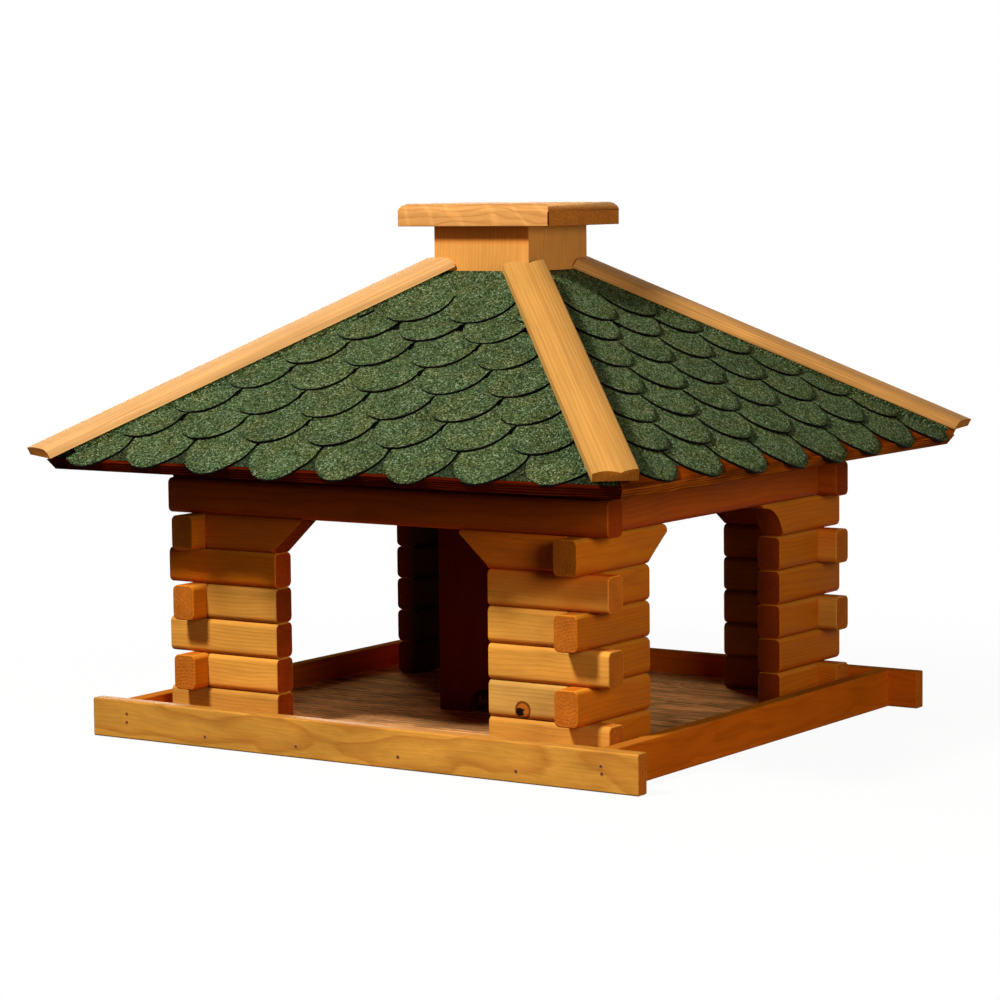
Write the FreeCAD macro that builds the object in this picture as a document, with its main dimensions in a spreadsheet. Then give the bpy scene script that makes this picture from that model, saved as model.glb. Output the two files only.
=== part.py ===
import FreeCAD, Part
import math
import os
import re
import Sketcher

# Log-built bird table: a tray with a rim, four corner posts stacked from short logs, a hipped
# roof of shingled boards, and a central feed column that is filled under a loose cap.
# The origin is the middle of the underside. +X runs along the front, which faces -Y, +Z is up.

Vector = FreeCAD.Vector

# Lengths are in millimetres and angles in degrees.
SIZES = {
    # walls, measured over the outer faces of the logs
    "house_width": 506,
    "house_depth": 500,
    # logs of the posts and of the top course
    "log_thick": 28,
    "log_chamfer": 4,
    "log_overhang": 22,
    "course_height": 37,
    "leg_width": 120,
    "leg_depth": 115,
    # brackets at the head of each post
    "bracket_reach": 34,
    "bracket_nose": 3,
    "side_nose": 8,
    "bracket_cove": 42,
    # tray
    "floor_thick": 16,
    "tray_margin": 53,
    "rim_thick": 16,
    "rim_height": 41,
    "rim_overhang": 34,
    "rim_round": 2,
    # roof
    "roof_pitch": 32.3,
    "eave_overhang": 95,
    "eave_lift": 14,
    "roof_board": 12,
    "plate_thick": 18,
    "joint_gap": 0.3,
    # shingles
    "shingle_thick": 2.5,
    "shingle_lip": 8,
    "lower_exposure": 48,
    "shingle_exposure": 45,
    "upper_exposure": 35,
    "tab_pitch": 82,
    "tab_slit": 3,
    "slit_lap": 3,
    "shingle_ramp": 7,
    "shingle_gap": 0.5,
    "shift_front": 25,
    "drift_front": 1.8,
    "shift_right": -18,
    "drift_right": -1.5,
    "shift_back": 12,
    "drift_back": -1.2,
    "shift_left": -30,
    "drift_left": 1.4,
    # hip laths
    "lath_width": 45,
    "lath_edge": 8.5,
    "lath_valley": 27,
    "lath_broad": 11,
    "broad_round": 38,
    "lath_high": 12.4,
    "high_round": 36.4,
    "high_edge": 2,
    "lath_lip": 1.5,
    "lath_over": 9,
    "lath_crown": 160,
    "lath_notch": 3,
    # feed column
    "column_width": 120,
    "column_depth": 114,
    "column_board": 16,
    "neck_height": 46,
    "outlet_width": 44,
    "outlet_height": 27,
    # cap
    "cap_width": 192,
    "cap_depth": 140,
    "cap_thick": 24,
    "cap_round": 8,
    "cap_forward": 4,
    "block_thick": 20,
    "block_clearance": 3,
}
POST_COURSES = 6
SHINGLE_COURSES = 7
# Straight cuts that round the end of a shingle tab.
TAB_CUTS = 10
# How far a cutting outline runs past the stock, and how near two points count as one.
SPARE = 40
TOUCH = 0.001

# Each side is drawn facing -Y, with the house's size along it and across it named here, and is
# turned into place by a quarter turn more than the side before it.
SIDES = {
    "front": ("width", "depth"),
    "right": ("depth", "width"),
    "back": ("width", "depth"),
    "left": ("depth", "width"),
}
CORNERS = {
    "front_left": (-1, -1),
    "front_right": (1, -1),
    "back_right": (1, 1),
    "back_left": (-1, 1),
}

# Edges of a box feature by the axis that they follow, and round its top.
BOX_EDGES = {
    "along_x": ["Edge9", "Edge10", "Edge11", "Edge12"],
    "along_y": ["Edge2", "Edge4", "Edge6", "Edge8"],
    "top": ["Edge2", "Edge6", "Edge10", "Edge12"],
}

doc = FreeCAD.newDocument("bird_table")
sheet = doc.addObject("Spreadsheet::Sheet", "Sizes")
for row, (alias, number) in enumerate(SIZES.items(), 1):
    sheet.set(f"A{row}", alias.replace("_", " "))
    sheet.set(f"B{row}", str(number))
    sheet.setAlias(f"B{row}", alias)
doc.recompute()

nodes = []


def sides():
    """Name, quarter turns, and the words for the size along and across each side."""
    for quarters, (side, (along, across)) in enumerate(SIDES.items()):
        yield side, quarters, along, across


def bound(formula):
    """The formula, written with size names, as an expression on the sheet."""
    return re.sub(r"\b[a-z]+_[a-z]+\b", lambda name: "Sizes." + name.group(), str(formula))


def value(formula):
    """The number that a formula gives now."""
    result = sheet.evalExpression(bound(formula))
    return float(getattr(result, "Value", result))


# Heights and half sizes that several pieces share.
WALL_TOP = f"(floor_thick + {POST_COURSES + 1} * course_height)"
EAVE_BOTTOM = f"({WALL_TOP} + eave_lift)"
SLOPE = "tan(roof_pitch)"
# Height of the shingles' upper face over the underside of the roof board, measured upright.
ROOF_BUILD = "((roof_board + 2 * shingle_thick) / cos(roof_pitch))"


def half(word):
    """Half the house along or across a side."""
    return f"(house_{word} / 2)"


def eave(word):
    """Distance from the middle to the underside's eave edge."""
    return f"(house_{word} / 2 + eave_overhang)"


# The hip leaves the eave corner at 45 degrees in plan and meets the column here.
HIP_SHIFT = "((house_width - house_depth) / 2)"
HIP_X = f"min(column_width / 2; column_depth / 2 + {HIP_SHIFT})"
HIP_Y = f"min(column_depth / 2; column_width / 2 - {HIP_SHIFT})"
HIP_Z = f"({EAVE_BOTTOM} + {ROOF_BUILD} + ({eave('depth')} - {HIP_Y}) * {SLOPE})"
HIP_PITCH = f"atan({SLOPE} / sqrt(2))"
# Length of the hip from the column to the top corner of the roof boards.
HIP_LENGTH = f"(({eave('width')} + roof_board * sin(roof_pitch) - {HIP_X}) * sqrt(2) / cos({HIP_PITCH}))"
COLUMN_TOP = (
    f"({EAVE_BOTTOM} + {ROOF_BUILD} + ({eave('depth')} - column_depth / 2) * {SLOPE} + neck_height)"
)


def place(feature, x, y, z, turn=0, pitch=0, roll=0):
    """Bind a placement: a corner in formulas, then turns about Z, Y and X."""
    base = f"create(<<vector>>; {bound(x)}; {bound(y)}; {bound(z)})"
    rotation = f"create(<<rotation>>; {bound(turn)}; {bound(pitch)}; {bound(roll)})"
    feature.setExpression("Placement", f"create(<<placement>>; {base}; {rotation})")


def new_body(label):
    body = doc.addObject("PartDesign::Body", label)
    body.Label = label
    return body


def add_box(body, length, width, height, side_shift=0):
    """A squared blank from the body's origin, moved sideways where a shift is given."""
    blank = body.newObject("PartDesign::AdditiveBox", body.Name + "_blank")
    blank.setExpression("Length", bound(length))
    blank.setExpression("Width", bound(width))
    blank.setExpression("Height", bound(height))
    blank.setExpression("Placement.Base.y", bound(side_shift))
    return blank


def ease_edges(body, kind, blank, edges, size):
    """Chamfer or fillet one group of the blank's edges."""
    eased = body.newObject("PartDesign::" + kind, body.Name + "_edges")
    eased.Base = (blank, BOX_EDGES[edges])
    eased.setExpression("Size" if kind == "Chamfer" else "Radius", bound(size))
    return eased


def arc_through(start, end, centre_height):
    """Arc between two points whose centre lies at a given height, bulging away from it."""
    rise = (end.y - centre_height) ** 2 - (start.y - centre_height) ** 2
    centre_x = (end.x ** 2 - start.x ** 2 + rise) / (2 * (end.x - start.x))
    centre = Vector(centre_x, centre_height, 0)
    outward = (start + end) / 2 - centre
    if outward.Length < TOUCH:
        outward = Vector(0, 1, 0)
    crown = centre + outward.normalize() * (start - centre).Length
    return Part.Arc(start, crown, end)


def add_sketch(body, name, role, corners):
    """Closed outline on one of the body's planes, with every corner bound to the sizes.

    A corner is a pair of formulas. A third one makes the edge that leaves it an arc and
    gives the height of the arc's centre.
    """
    plane = [item for item in body.Origin.OriginFeatures if item.Role == role][0]
    sketch = body.newObject("Sketcher::SketchObject", body.Name + "_" + name)
    sketch.AttachmentSupport = [(plane, "")]
    sketch.MapMode = "FlatFace"
    points = [Vector(value(corner[0]), value(corner[1]), 0) for corner in corners]
    firsts = []
    for index, corner in enumerate(corners):
        start = points[index]
        end = points[(index + 1) % len(points)]
        if len(corner) == 3:
            sketch.addGeometry(arc_through(start, end, value(corner[2])), False)
        else:
            sketch.addGeometry(Part.LineSegment(start, end), False)
        begins_here = sketch.getPoint(index, 1).isEqual(start, TOUCH)
        firsts.append(1 if begins_here else 2)
    for index, corner in enumerate(corners):
        before = (index - 1) % len(corners)
        last = 3 - firsts[before]
        sketch.addConstraint(Sketcher.Constraint("Coincident", before, last, index, firsts[index]))
        fix_point(sketch, index, firsts[index], "DistanceX", corner[0], points[index].x)
        fix_point(sketch, index, firsts[index], "DistanceY", corner[1], points[index].y)
        if len(corner) == 3:
            fix_point(sketch, index, 3, "DistanceY", corner[2], value(corner[2]))
    return sketch


def fix_point(sketch, index, point, kind, formula, number):
    """Bind one coordinate of a point, or hold it on the axis where the formula is nought."""
    if str(formula) == "0":
        axis = -2 if kind == "DistanceX" else -1
        sketch.addConstraint(Sketcher.Constraint("PointOnObject", index, point, axis))
        return
    constraint = sketch.addConstraint(Sketcher.Constraint(kind, -1, 1, index, point, number))
    sketch.setExpression(f"Constraints[{constraint}]", bound(formula))


def add_pocket(body, sketch):
    """Cut the sketch's outline right through the body."""
    pocket = body.newObject("PartDesign::Pocket", sketch.Name + "_cut")
    pocket.Profile = sketch
    pocket.Type = "ThroughAll"
    pocket.SideType = "Symmetric"
    return pocket


def add_pad(body, sketch, length, side_type):
    pad = body.newObject("PartDesign::Pad", sketch.Name + "_pad")
    pad.Profile = sketch
    pad.setExpression("Length", bound(length))
    pad.SideType = side_type
    return pad


def squared_piece(label, size, corner, turn=0, ease=None):
    """A straight squared board as a node: its sizes, its low corner and its eased edges."""
    body = new_body(label)
    blank = add_box(body, *size)
    if ease:
        kind, edges, radius = ease
        ease_edges(body, kind, blank, edges, radius)
    place(body, *corner, turn)
    nodes.append(body)
    return body


def build_tray():
    """Floor panel with a rim strip on each side; the front and back strips run past the rest."""
    inner_x = f"({half('width')} + tray_margin - rim_thick)"
    inner_y = f"({half('depth')} + tray_margin - rim_thick)"
    size = (f"2 * {inner_x}", f"2 * {inner_y}", "floor_thick")
    squared_piece("floor_panel", size, (f"-{inner_x}", f"-{inner_y}", 0))
    for side, quarters, along, across in sides():
        reach = f"({half(along)} + tray_margin + rim_overhang)"
        if along == "depth":
            reach = inner_y
        outer = f"({half(across)} + tray_margin)"
        # The corner of the turned blank: to the left of the side's middle, seen from outside.
        corner = turned_corner(quarters, f"-{reach}", f"-{outer}")
        size = (f"2 * {reach}", "rim_thick", "rim_height")
        ease = ("Fillet", "along_x", "rim_round")
        squared_piece(f"rim_{side}", size, (*corner, 0), 90 * quarters, ease)


def turned_corner(quarters, x, y):
    """The point (x, y), given as formulas, turned about the origin by quarter turns."""
    for _ in range(quarters):
        x, y = f"-({y})", x
    return x, y


def build_log(label, corner, runs_x, through, course, nose):
    """One log of a post, drawn from its outer end inwards along the body's X axis."""
    sign_x, sign_y = corner
    leg = "leg_width" if runs_x else "leg_depth"
    start = "log_overhang" if through else "-log_thick"
    length = f"({leg} + {start})"
    if nose:
        length = f"({leg} + {start} + {nose[0]})"
    body = new_body(label)
    blank = add_box(body, length, "log_thick", "course_height", "-log_thick / 2")
    ease_edges(body, "Chamfer", blank, "along_x", "log_chamfer")
    if nose:
        cut_bracket(body, length, *nose)
    outer = f"({start})"
    middle = "log_thick / 2"
    if runs_x:
        x = f"{sign_x} * ({half('width')} + {outer})"
        y = f"{sign_y} * ({half('depth')} - {middle})"
        turn = 0 if sign_x < 0 else 180
    else:
        x = f"{sign_x} * ({half('width')} - {middle})"
        y = f"{sign_y} * ({half('depth')} + {outer})"
        turn = 90 if sign_y < 0 else 270
    place(body, x, y, f"floor_thick + {course} * course_height", turn)
    return body


def cut_bracket(body, length, reach, shape, nose):
    """Cut the inner end of a log to a bracket, on a slant or as a cove, under a square nose."""
    drop = f"(course_height - {nose})"
    foot = f"({length} - {reach})"
    if shape == "slant":
        beyond = f"({length} + {SPARE})"
        corners = [
            (f"{foot} - {SPARE} * {reach} / {drop}", f"-{SPARE}"),
            (beyond, f"-{SPARE}"),
            (beyond, f"{drop} + {SPARE} * {drop} / {reach}"),
        ]
    else:
        centre_height = f"({drop} - {reach})"
        beyond = f"({length} + {SPARE})"
        corners = [
            (foot, centre_height, centre_height),
            (length, drop),
            (beyond, drop),
            (beyond, centre_height),
        ]
    add_pocket(body, add_sketch(body, "bracket", "XZ_Plane", corners))


def build_posts():
    """Six courses at each corner; logs run through in X and in Y by turns.

    In each course one log runs past the corner and the other butts against it.
    """
    for name, corner in CORNERS.items():
        for course in range(POST_COURSES):
            x_through = course % 2 == 0
            nose_x = nose_y = None
            if course == POST_COURSES - 1:
                nose_x = ("bracket_reach", "slant", "bracket_nose")
                nose_y = ("bracket_cove", "cove", "bracket_nose")
                if corner[1] < 0:
                    nose_y = ("bracket_reach", "slant", "side_nose")
            label = f"post_{name}_{course + 1}"
            logs = [
                build_log(label + "_x", corner, True, x_through, course, nose_x),
                build_log(label + "_y", corner, False, not x_through, course, nose_y),
            ]
            pair = doc.addObject("Part::Compound", label)
            pair.Label = label
            pair.Links = logs
            nodes.append(pair)


def build_beams():
    """The top course: front and back beams run through, the side beams butt between them."""
    height = f"floor_thick + {POST_COURSES} * course_height"
    for side, quarters, along, across in sides():
        reach = f"({half(along)} + log_overhang)"
        if along == "depth":
            reach = f"({half(along)} - log_thick)"
        corner = turned_corner(quarters, f"-{reach}", f"-{half(across)}")
        size = (f"2 * {reach}", "log_thick", "course_height")
        ease = ("Chamfer", "along_x", "log_chamfer")
        squared_piece(f"beam_{side}", size, (*corner, height), 90 * quarters, ease)


def mitre_ends(body, along, across):
    """Cut both ends of a roof piece on the hips, which are upright planes at 45 degrees."""
    run = f"({eave(along)} - joint_gap)"
    outer = f"({run} + {SPARE})"
    corners = [
        (f"{run} - {eave(across)}", "0"),
        (outer, f"-({eave(across)} + {SPARE})"),
        (outer, "0"),
    ]
    pocket = add_pocket(body, add_sketch(body, "hip", "XY_Plane", corners))
    mirror_plane = [item for item in body.Origin.OriginFeatures if item.Role == "YZ_Plane"][0]
    mirror = body.newObject("PartDesign::Mirrored", body.Name + "_hips")
    mirror.Originals = [pocket]
    mirror.MirrorPlane = (mirror_plane, [""])
    body.Tip = mirror


def build_roof_boards():
    """Four boards cut square at the eave, mitred on the hips and cut round the column."""
    for side, quarters, along, across in sides():
        body = new_body(f"roof_board_{side}")
        ridge = f"{EAVE_BOTTOM} + {eave(across)} * {SLOPE}"
        corners = [
            (f"-{eave(across)}", EAVE_BOTTOM),
            ("0", ridge),
            ("0", f"{ridge} + roof_board / cos(roof_pitch)"),
            (
                f"-({eave(across)} + roof_board * sin(roof_pitch))",
                f"{EAVE_BOTTOM} + roof_board * cos(roof_pitch)",
            ),
        ]
        profile = add_sketch(body, "section", "YZ_Plane", corners)
        add_pad(body, profile, f"2 * ({eave(along)} + roof_board)", "Symmetric")
        mitre_ends(body, along, across)
        hole_x = f"(column_{along} / 2 + joint_gap)"
        hole_y = f"-(column_{across} / 2 + joint_gap)"
        corners = [(f"-{hole_x}", "0"), (f"-{hole_x}", hole_y), (hole_x, hole_y), (hole_x, "0")]
        add_pocket(body, add_sketch(body, "column", "XY_Plane", corners))
        place(body, 0, 0, 0, 90 * quarters)
        nodes.append(body)


def build_roof_plates():
    """Boards on the top course that carry the roof; their tops are bevelled to its slope."""
    for side, quarters, along, across in sides():
        body = new_body(f"roof_plate_{side}")
        outer = half(across)
        inner = f"({half(across)} - plate_thick)"
        top = f"({EAVE_BOTTOM} + eave_overhang * {SLOPE} - joint_gap)"
        corners = [
            (f"-{outer}", WALL_TOP),
            (f"-{inner}", WALL_TOP),
            (f"-{inner}", f"{top} + plate_thick * {SLOPE}"),
            (f"-{outer}", top),
        ]
        profile = add_sketch(body, "section", "YZ_Plane", corners)
        add_pad(body, profile, f"2 * {half(along)}", "Symmetric")
        mitre_ends(body, along, across)
        place(body, 0, 0, 0, 90 * quarters)
        nodes.append(body)


def prism(points, axis, lift):
    """Solid from a closed outline of straight edges, extruded by a vector."""
    outline = Part.makePolygon([Vector(*point) for point in points + points[:1]])
    return Part.Face(outline).extrude(axis * lift)


def tab_outline(middle, reach, tip, slit_top, upper_end):
    """One course flat in the plane of the roof: round tabs at its lower edge, with slits.

    A tab is centred on middle, and the row runs at least reach to either side.
    """
    pitch = value("tab_pitch")
    radius = (pitch - value("tab_slit")) / 2
    shoulder = tip + radius
    tabs = math.ceil((reach + pitch) / pitch)
    points = []
    for number in range(-tabs, tabs + 1):
        centre = middle + number * pitch
        points.append((centre - radius, slit_top, 0))
        for cut in range(TAB_CUTS + 1):
            angle = math.pi * cut / TAB_CUTS
            points.append((centre - radius * math.cos(angle), shoulder - radius * math.sin(angle), 0))
        points.append((centre + radius, slit_top, 0))
    points.append((points[-1][0], upper_end, 0))
    points.append((points[0][0], upper_end, 0))
    return points


def course_section(tips, course, upper_end):
    """Section of one course, up the slope and off the board.

    Its tabs lie on the course below; past them it steps down on to the board.
    """
    thick = value("shingle_thick")
    ramp = value("shingle_ramp")
    clear = value("shingle_gap")
    reach = tips + [upper_end + ramp] * 2
    tip, next_tip, second_tip = reach[course:course + 3]
    if course == 0:
        end = second_tip - ramp
        return [(tip, 0), (end, 0), (end, thick), (tip, thick)]
    if course == len(tips) - 1:
        return [(tip, thick), (upper_end, thick), (upper_end, 2 * thick), (tip, 2 * thick)]
    end = second_tip - ramp
    return [
        (tip, thick),
        (next_tip - ramp, thick),
        (next_tip - clear, 0),
        (end, 0),
        (end, thick),
        (next_tip - clear, thick),
        (next_tip - ramp, 2 * thick),
        (tip, 2 * thick),
    ]


def roof_side_space(along, across):
    """Upright prism over one side of the roof, between the hips and outside the column."""
    gap = value("shingle_gap")
    run_x = value(eave(along))
    run_y = value(eave(across))
    outer = run_y + SPARE
    inner = max(run_y - run_x + gap, 0) + gap
    corners = []
    for sign, distance in ((-1, outer), (1, outer), (1, inner), (-1, inner)):
        corners.append((sign * (run_x - run_y + distance - gap), -distance, 0))
    top = 2 * value(COLUMN_TOP)
    space = prism(corners, Vector(0, 0, 1), top)
    hole_x = value(f"column_{along} / 2") + gap
    hole_y = value(f"column_{across} / 2") + gap
    column = Part.makeBox(2 * hole_x, 2 * hole_y, top, Vector(-hole_x, -hole_y, 0))
    return space.cut(column)


def build_shingles():
    """Seven overlapping courses on each side, each one strip with round tabs."""
    pitch = value("roof_pitch")
    board = value("roof_board")
    exposures = [value("shingle_exposure")] * (SHINGLE_COURSES - 1)
    exposures[0] = value("lower_exposure")
    exposures[-1] = value("upper_exposure")
    tips = [-value("shingle_lip")]
    for exposure in exposures:
        tips.append(tips[-1] + exposure)
    for side, quarters, along, across in sides():
        space = roof_side_space(along, across)
        run = value(eave(across))
        upper_end = run / math.cos(math.radians(pitch))
        reach = value(eave(along)) + SPARE
        edge = Vector(
            0,
            -run - board * math.sin(math.radians(pitch)),
            value(EAVE_BOTTOM) + board * math.cos(math.radians(pitch)),
        )
        tilt = FreeCAD.Placement(edge, FreeCAD.Rotation(Vector(1, 0, 0), pitch))
        strips = []
        for course, tip in enumerate(tips):
            middle = value(f"shift_{side} + {course} * drift_{side}")
            if course % 2:
                middle -= value("tab_pitch / 2")
            next_tip = tips[course + 1] if course + 1 < len(tips) else tip + value("shingle_exposure")
            slit_top = max(next_tip + value("slit_lap"), tip + value("tab_pitch / 2"))
            outline = tab_outline(middle, reach, tip, slit_top, upper_end + SPARE)
            strip = prism(outline, Vector(0, 0, 1), 4 * value("shingle_thick"))
            section = [(-reach, up, off) for up, off in course_section(tips, course, upper_end)]
            strip = strip.common(prism(section, Vector(1, 0, 0), 2 * reach))
            strip.Placement = tilt
            strip = strip.common(space)
            # What a hip cuts loose from the strip is an offcut.
            strips.append(max(strip.Solids, key=lambda solid: solid.Volume))
        shingles = doc.addObject("Part::Feature", f"shingles_{side}")
        shingles.Label = f"shingles_{side}"
        shingles.Shape = Part.Compound(strips)
        shingles.Placement = FreeCAD.Placement(Vector(), FreeCAD.Rotation(Vector(0, 0, 1), 90 * quarters))
        nodes.append(shingles)


# Each lath as it was nailed on: its roll and its sideways shift, then how far its left and its
# right edge run past the eave corner, and past the column's corner, seen looking down the hip.
# Two are of one moulding, and two of another that is rounded over on the side named.
LATHS = {
    "front_right": {"roll": 0, "shift": -6, "foot": (-4, -4), "head": (-1, -1)},
    "front_left": {"roll": -11, "shift": 0, "foot": (-1, 15), "head": (18, 0), "over": "left"},
    "back_right": {"roll": 11, "shift": 0, "foot": (22, -6), "head": (0, 20), "over": "right"},
    "back_left": {"roll": 0, "shift": 4, "foot": (-3, -3), "head": (-1, -1)},
}


def lath_section(left, right, over):
    """Outline of a lath: a shallow round and a steeper one, or one side rounded over."""
    base = [(right, "0"), (left, "0")]
    crown = "(lath_lip + lath_over - lath_crown)"
    if over == "left":
        return base + [
            (left, "lath_lip", "lath_lip"),
            (f"{left} - lath_over", "lath_lip + lath_over", crown),
            (right, "lath_edge"),
        ]
    if over == "right":
        return base + [
            (left, "lath_edge", crown),
            (f"{right} + lath_over", "lath_lip + lath_over", "lath_lip"),
            (right, "lath_lip"),
        ]
    return base + [
        (left, "lath_high - high_edge", "lath_high - high_edge"),
        (f"{left} - high_edge", "lath_high", "lath_high - high_round"),
        (f"{right} + lath_valley", "lath_edge", "lath_broad - broad_round"),
        (right, "lath_edge"),
    ]


def build_laths():
    """Cover laths on the hips, each sawn and nailed on by hand."""
    for name, lath in LATHS.items():
        sign_x, sign_y = CORNERS[name]
        body = new_body(f"hip_lath_{name}")
        right = f"({lath['shift']} - lath_width / 2)"
        left = f"({lath['shift']} + lath_width / 2)"
        corners = lath_section(left, right, lath.get("over"))
        profile = add_sketch(body, "section", "YZ_Plane", corners)
        profile.AttachmentOffset = FreeCAD.Placement(Vector(0, 0, -SPARE), FreeCAD.Rotation())
        add_pad(body, profile, f"{HIP_LENGTH} + 2 * {SPARE}", "One side")
        saw_end(body, "foot", lath["foot"], lath["shift"], HIP_LENGTH, 1)
        saw_end(body, "head", lath["head"], lath["shift"], "0", -1)
        if max(lath["head"]) > 0:
            notch = "(lath_width / 2 + lath_notch)"
            corners = [
                ("lath_notch", "0"),
                (f"-{notch}", notch),
                (f"-{notch}", f"-{notch}"),
            ]
            add_pocket(body, add_sketch(body, "notch", "XY_Plane", corners))
        x = f"{sign_x} * {HIP_X}"
        y = f"{sign_y} * {HIP_Y}"
        heading = math.degrees(math.atan2(sign_y, sign_x))
        place(body, x, y, HIP_Z, heading, HIP_PITCH, lath["roll"])
        nodes.append(body)


def saw_end(body, name, past, shift, start, direction):
    """Saw one end of a lath from its left edge to its right edge, straight or on a slant."""
    left, right = past
    left_edge = f"{shift} + lath_width / 2 + {SPARE}"
    right_edge = f"{shift} - lath_width / 2 - {SPARE}"
    slant = f"{(left - right) * direction} * {SPARE} / lath_width"
    far = f"{start} + {direction * 2 * SPARE}"
    corners = [
        (f"{start} + {direction * left} + {slant}", left_edge),
        (far, left_edge),
        (far, right_edge),
        (f"{start} + {direction * right} - {slant}", right_edge),
    ]
    add_pocket(body, add_sketch(body, name, "XY_Plane", corners))


def build_column():
    """Four upright boards; an arched outlet at the foot of each lets the feed run out."""
    height = f"({COLUMN_TOP} - floor_thick)"
    for side, quarters, along, across in sides():
        body = new_body(f"column_board_{side}")
        length = f"column_{along}"
        if along == "depth":
            length = f"(column_{along} - 2 * column_board)"
        add_box(body, length, "column_board", height)
        springing = "(outlet_height - outlet_width / 2)"
        left = f"({length} / 2 - outlet_width / 2)"
        right = f"({length} / 2 + outlet_width / 2)"
        corners = [(left, "0"), (left, springing, springing), (right, springing), (right, "0")]
        add_pocket(body, add_sketch(body, "outlet", "XZ_Plane", corners))
        corner = turned_corner(quarters, f"-{length} / 2", f"-column_{across} / 2")
        place(body, *corner, "floor_thick", 90 * quarters)
        nodes.append(body)


def build_cap():
    """Loose cap: a board with rounded upper edges over a block that drops into the column."""
    size = ("cap_width", "cap_depth", "cap_thick")
    corner = ("-cap_width / 2", "-cap_depth / 2 - cap_forward", COLUMN_TOP)
    squared_piece("cap_board", size, corner, 0, ("Fillet", "top", "cap_round"))
    width = "(column_width - 2 * column_board - 2 * block_clearance)"
    depth = "(column_depth - 2 * column_board - 2 * block_clearance)"
    corner = (f"-{width} / 2", f"-{depth} / 2", f"{COLUMN_TOP} - block_thick")
    squared_piece("cap_block", (width, depth, "block_thick"), corner)


def check_and_write():
    """Stop on any failed feature or empty shape, then write one file for each sub-part."""
    failed = [item.Label for item in doc.Objects if {"Invalid", "Error"} & set(item.State)]
    if failed:
        raise RuntimeError(f"failed features: {failed}")
    for node in nodes:
        if node.Shape.isNull() or not node.Shape.isValid():
            raise RuntimeError(f"bad shape: {node.Label}")
    os.makedirs("parts", exist_ok=True)
    for node in nodes:
        node.Shape.exportStep(f"parts/{node.Label}.step")


build_tray()
build_posts()
build_beams()
build_roof_plates()
build_roof_boards()
build_shingles()
build_laths()
build_column()
build_cap()
doc.recompute()
check_and_write()
for node in nodes:
    box = node.Shape.BoundBox
    print(f"{node.Label}: {len(node.Shape.Solids)} solids, {node.Shape.Volume / 1000:.1f} cm3,"
          f" z {box.ZMin:.1f} to {box.ZMax:.1f}")
print(len(nodes), "nodes, column top", round(value(COLUMN_TOP), 1))
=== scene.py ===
# %% [markdown]
# # A bird table with a shingled roof
#
# The real thing stands on a lawn or a post: a shallow tray with a rim, four corner posts
# stacked from short logs, a hipped roof of boards under round-tab felt shingles, and a feed
# column that is filled from above under a loose cap. The solids come from a CAD model that is
# already the right size, so this file only dresses them. Each visible piece is drawn again
# with its rounded edges, its grain and its finish, and stands for the CAD piece it hides.

# %% The frame
import math
import random

import bmesh
import bpy
from mathutils import Euler, Matrix, Vector


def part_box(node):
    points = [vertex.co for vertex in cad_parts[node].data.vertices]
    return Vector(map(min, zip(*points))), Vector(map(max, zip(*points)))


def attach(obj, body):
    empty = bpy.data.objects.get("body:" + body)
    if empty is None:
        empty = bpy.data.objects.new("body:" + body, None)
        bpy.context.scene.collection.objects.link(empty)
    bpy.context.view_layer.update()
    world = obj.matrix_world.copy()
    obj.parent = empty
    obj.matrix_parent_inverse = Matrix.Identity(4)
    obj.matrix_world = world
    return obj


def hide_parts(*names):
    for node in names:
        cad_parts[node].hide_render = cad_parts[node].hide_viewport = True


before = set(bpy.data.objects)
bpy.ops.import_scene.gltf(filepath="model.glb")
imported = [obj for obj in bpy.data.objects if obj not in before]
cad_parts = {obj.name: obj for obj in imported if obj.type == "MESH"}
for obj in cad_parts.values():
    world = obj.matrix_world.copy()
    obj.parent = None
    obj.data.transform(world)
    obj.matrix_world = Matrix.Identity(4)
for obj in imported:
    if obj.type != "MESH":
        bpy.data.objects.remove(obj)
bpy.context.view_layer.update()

link = bpy.context.scene.collection.objects.link
print("frame loaded,", len(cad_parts), "CAD nodes")

# %% [markdown]
# ## Sizes
#
# A joiner keeps a cutting list. The numbers here repeat the one the CAD model was made from,
# in metres, because every mesh below is drawn from them. Where a CAD piece only needs its box,
# the box is read from the frame instead, so that the two can't disagree.

# %% The cutting list
HOUSE = Vector((0.506, 0.500))
LOG_THICK, COURSE = 0.028, 0.037
LEG_X, LEG_Y = 0.120, 0.115
OVERHANG, FLOOR = 0.022, 0.016
BRACKET, BRACKET_NOSE, SIDE_NOSE, COVE = 0.034, 0.003, 0.008, 0.042
POST_COURSES = 6
EAVE, EAVE_LIFT = 0.095, 0.014
EAVE_BOTTOM = FLOOR + (POST_COURSES + 1) * COURSE + EAVE_LIFT
PITCH = math.radians(32.3)
BOARD = 0.012
COLUMN = Vector((0.120, 0.114))
FELT = 0.0025
print(f"eave at {EAVE_BOTTOM * 1000:.0f} mm, roof pitch {math.degrees(PITCH):.1f} degrees")

# %% [markdown]
# ## The camera
#
# The object was photographed from a little above the roof, off its front right corner, with a
# long lens from about three and a half metres. The edges and corners of the tray, the posts
# and the roof fix such a camera, and it is written here as a place, three angles and a focal
# length in pixels.

# %% A camera where the photographer stood
FOCAL_PIXELS, FRAME_PIXELS, SENSOR = 3235.33, 1000, 36
CAMERA_PLACE = (1.9218, -2.8981, 0.5898)
yaw, tip, roll = (math.radians(angle) for angle in (33.79, -5.72, -0.63))
looking = Vector((-math.sin(yaw) * math.cos(tip), math.cos(yaw) * math.cos(tip), math.sin(tip)))
level = Vector((math.cos(yaw), math.sin(yaw), 0))
above = level.cross(looking)
right = math.cos(roll) * level + math.sin(roll) * above
above = -math.sin(roll) * level + math.cos(roll) * above

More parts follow.
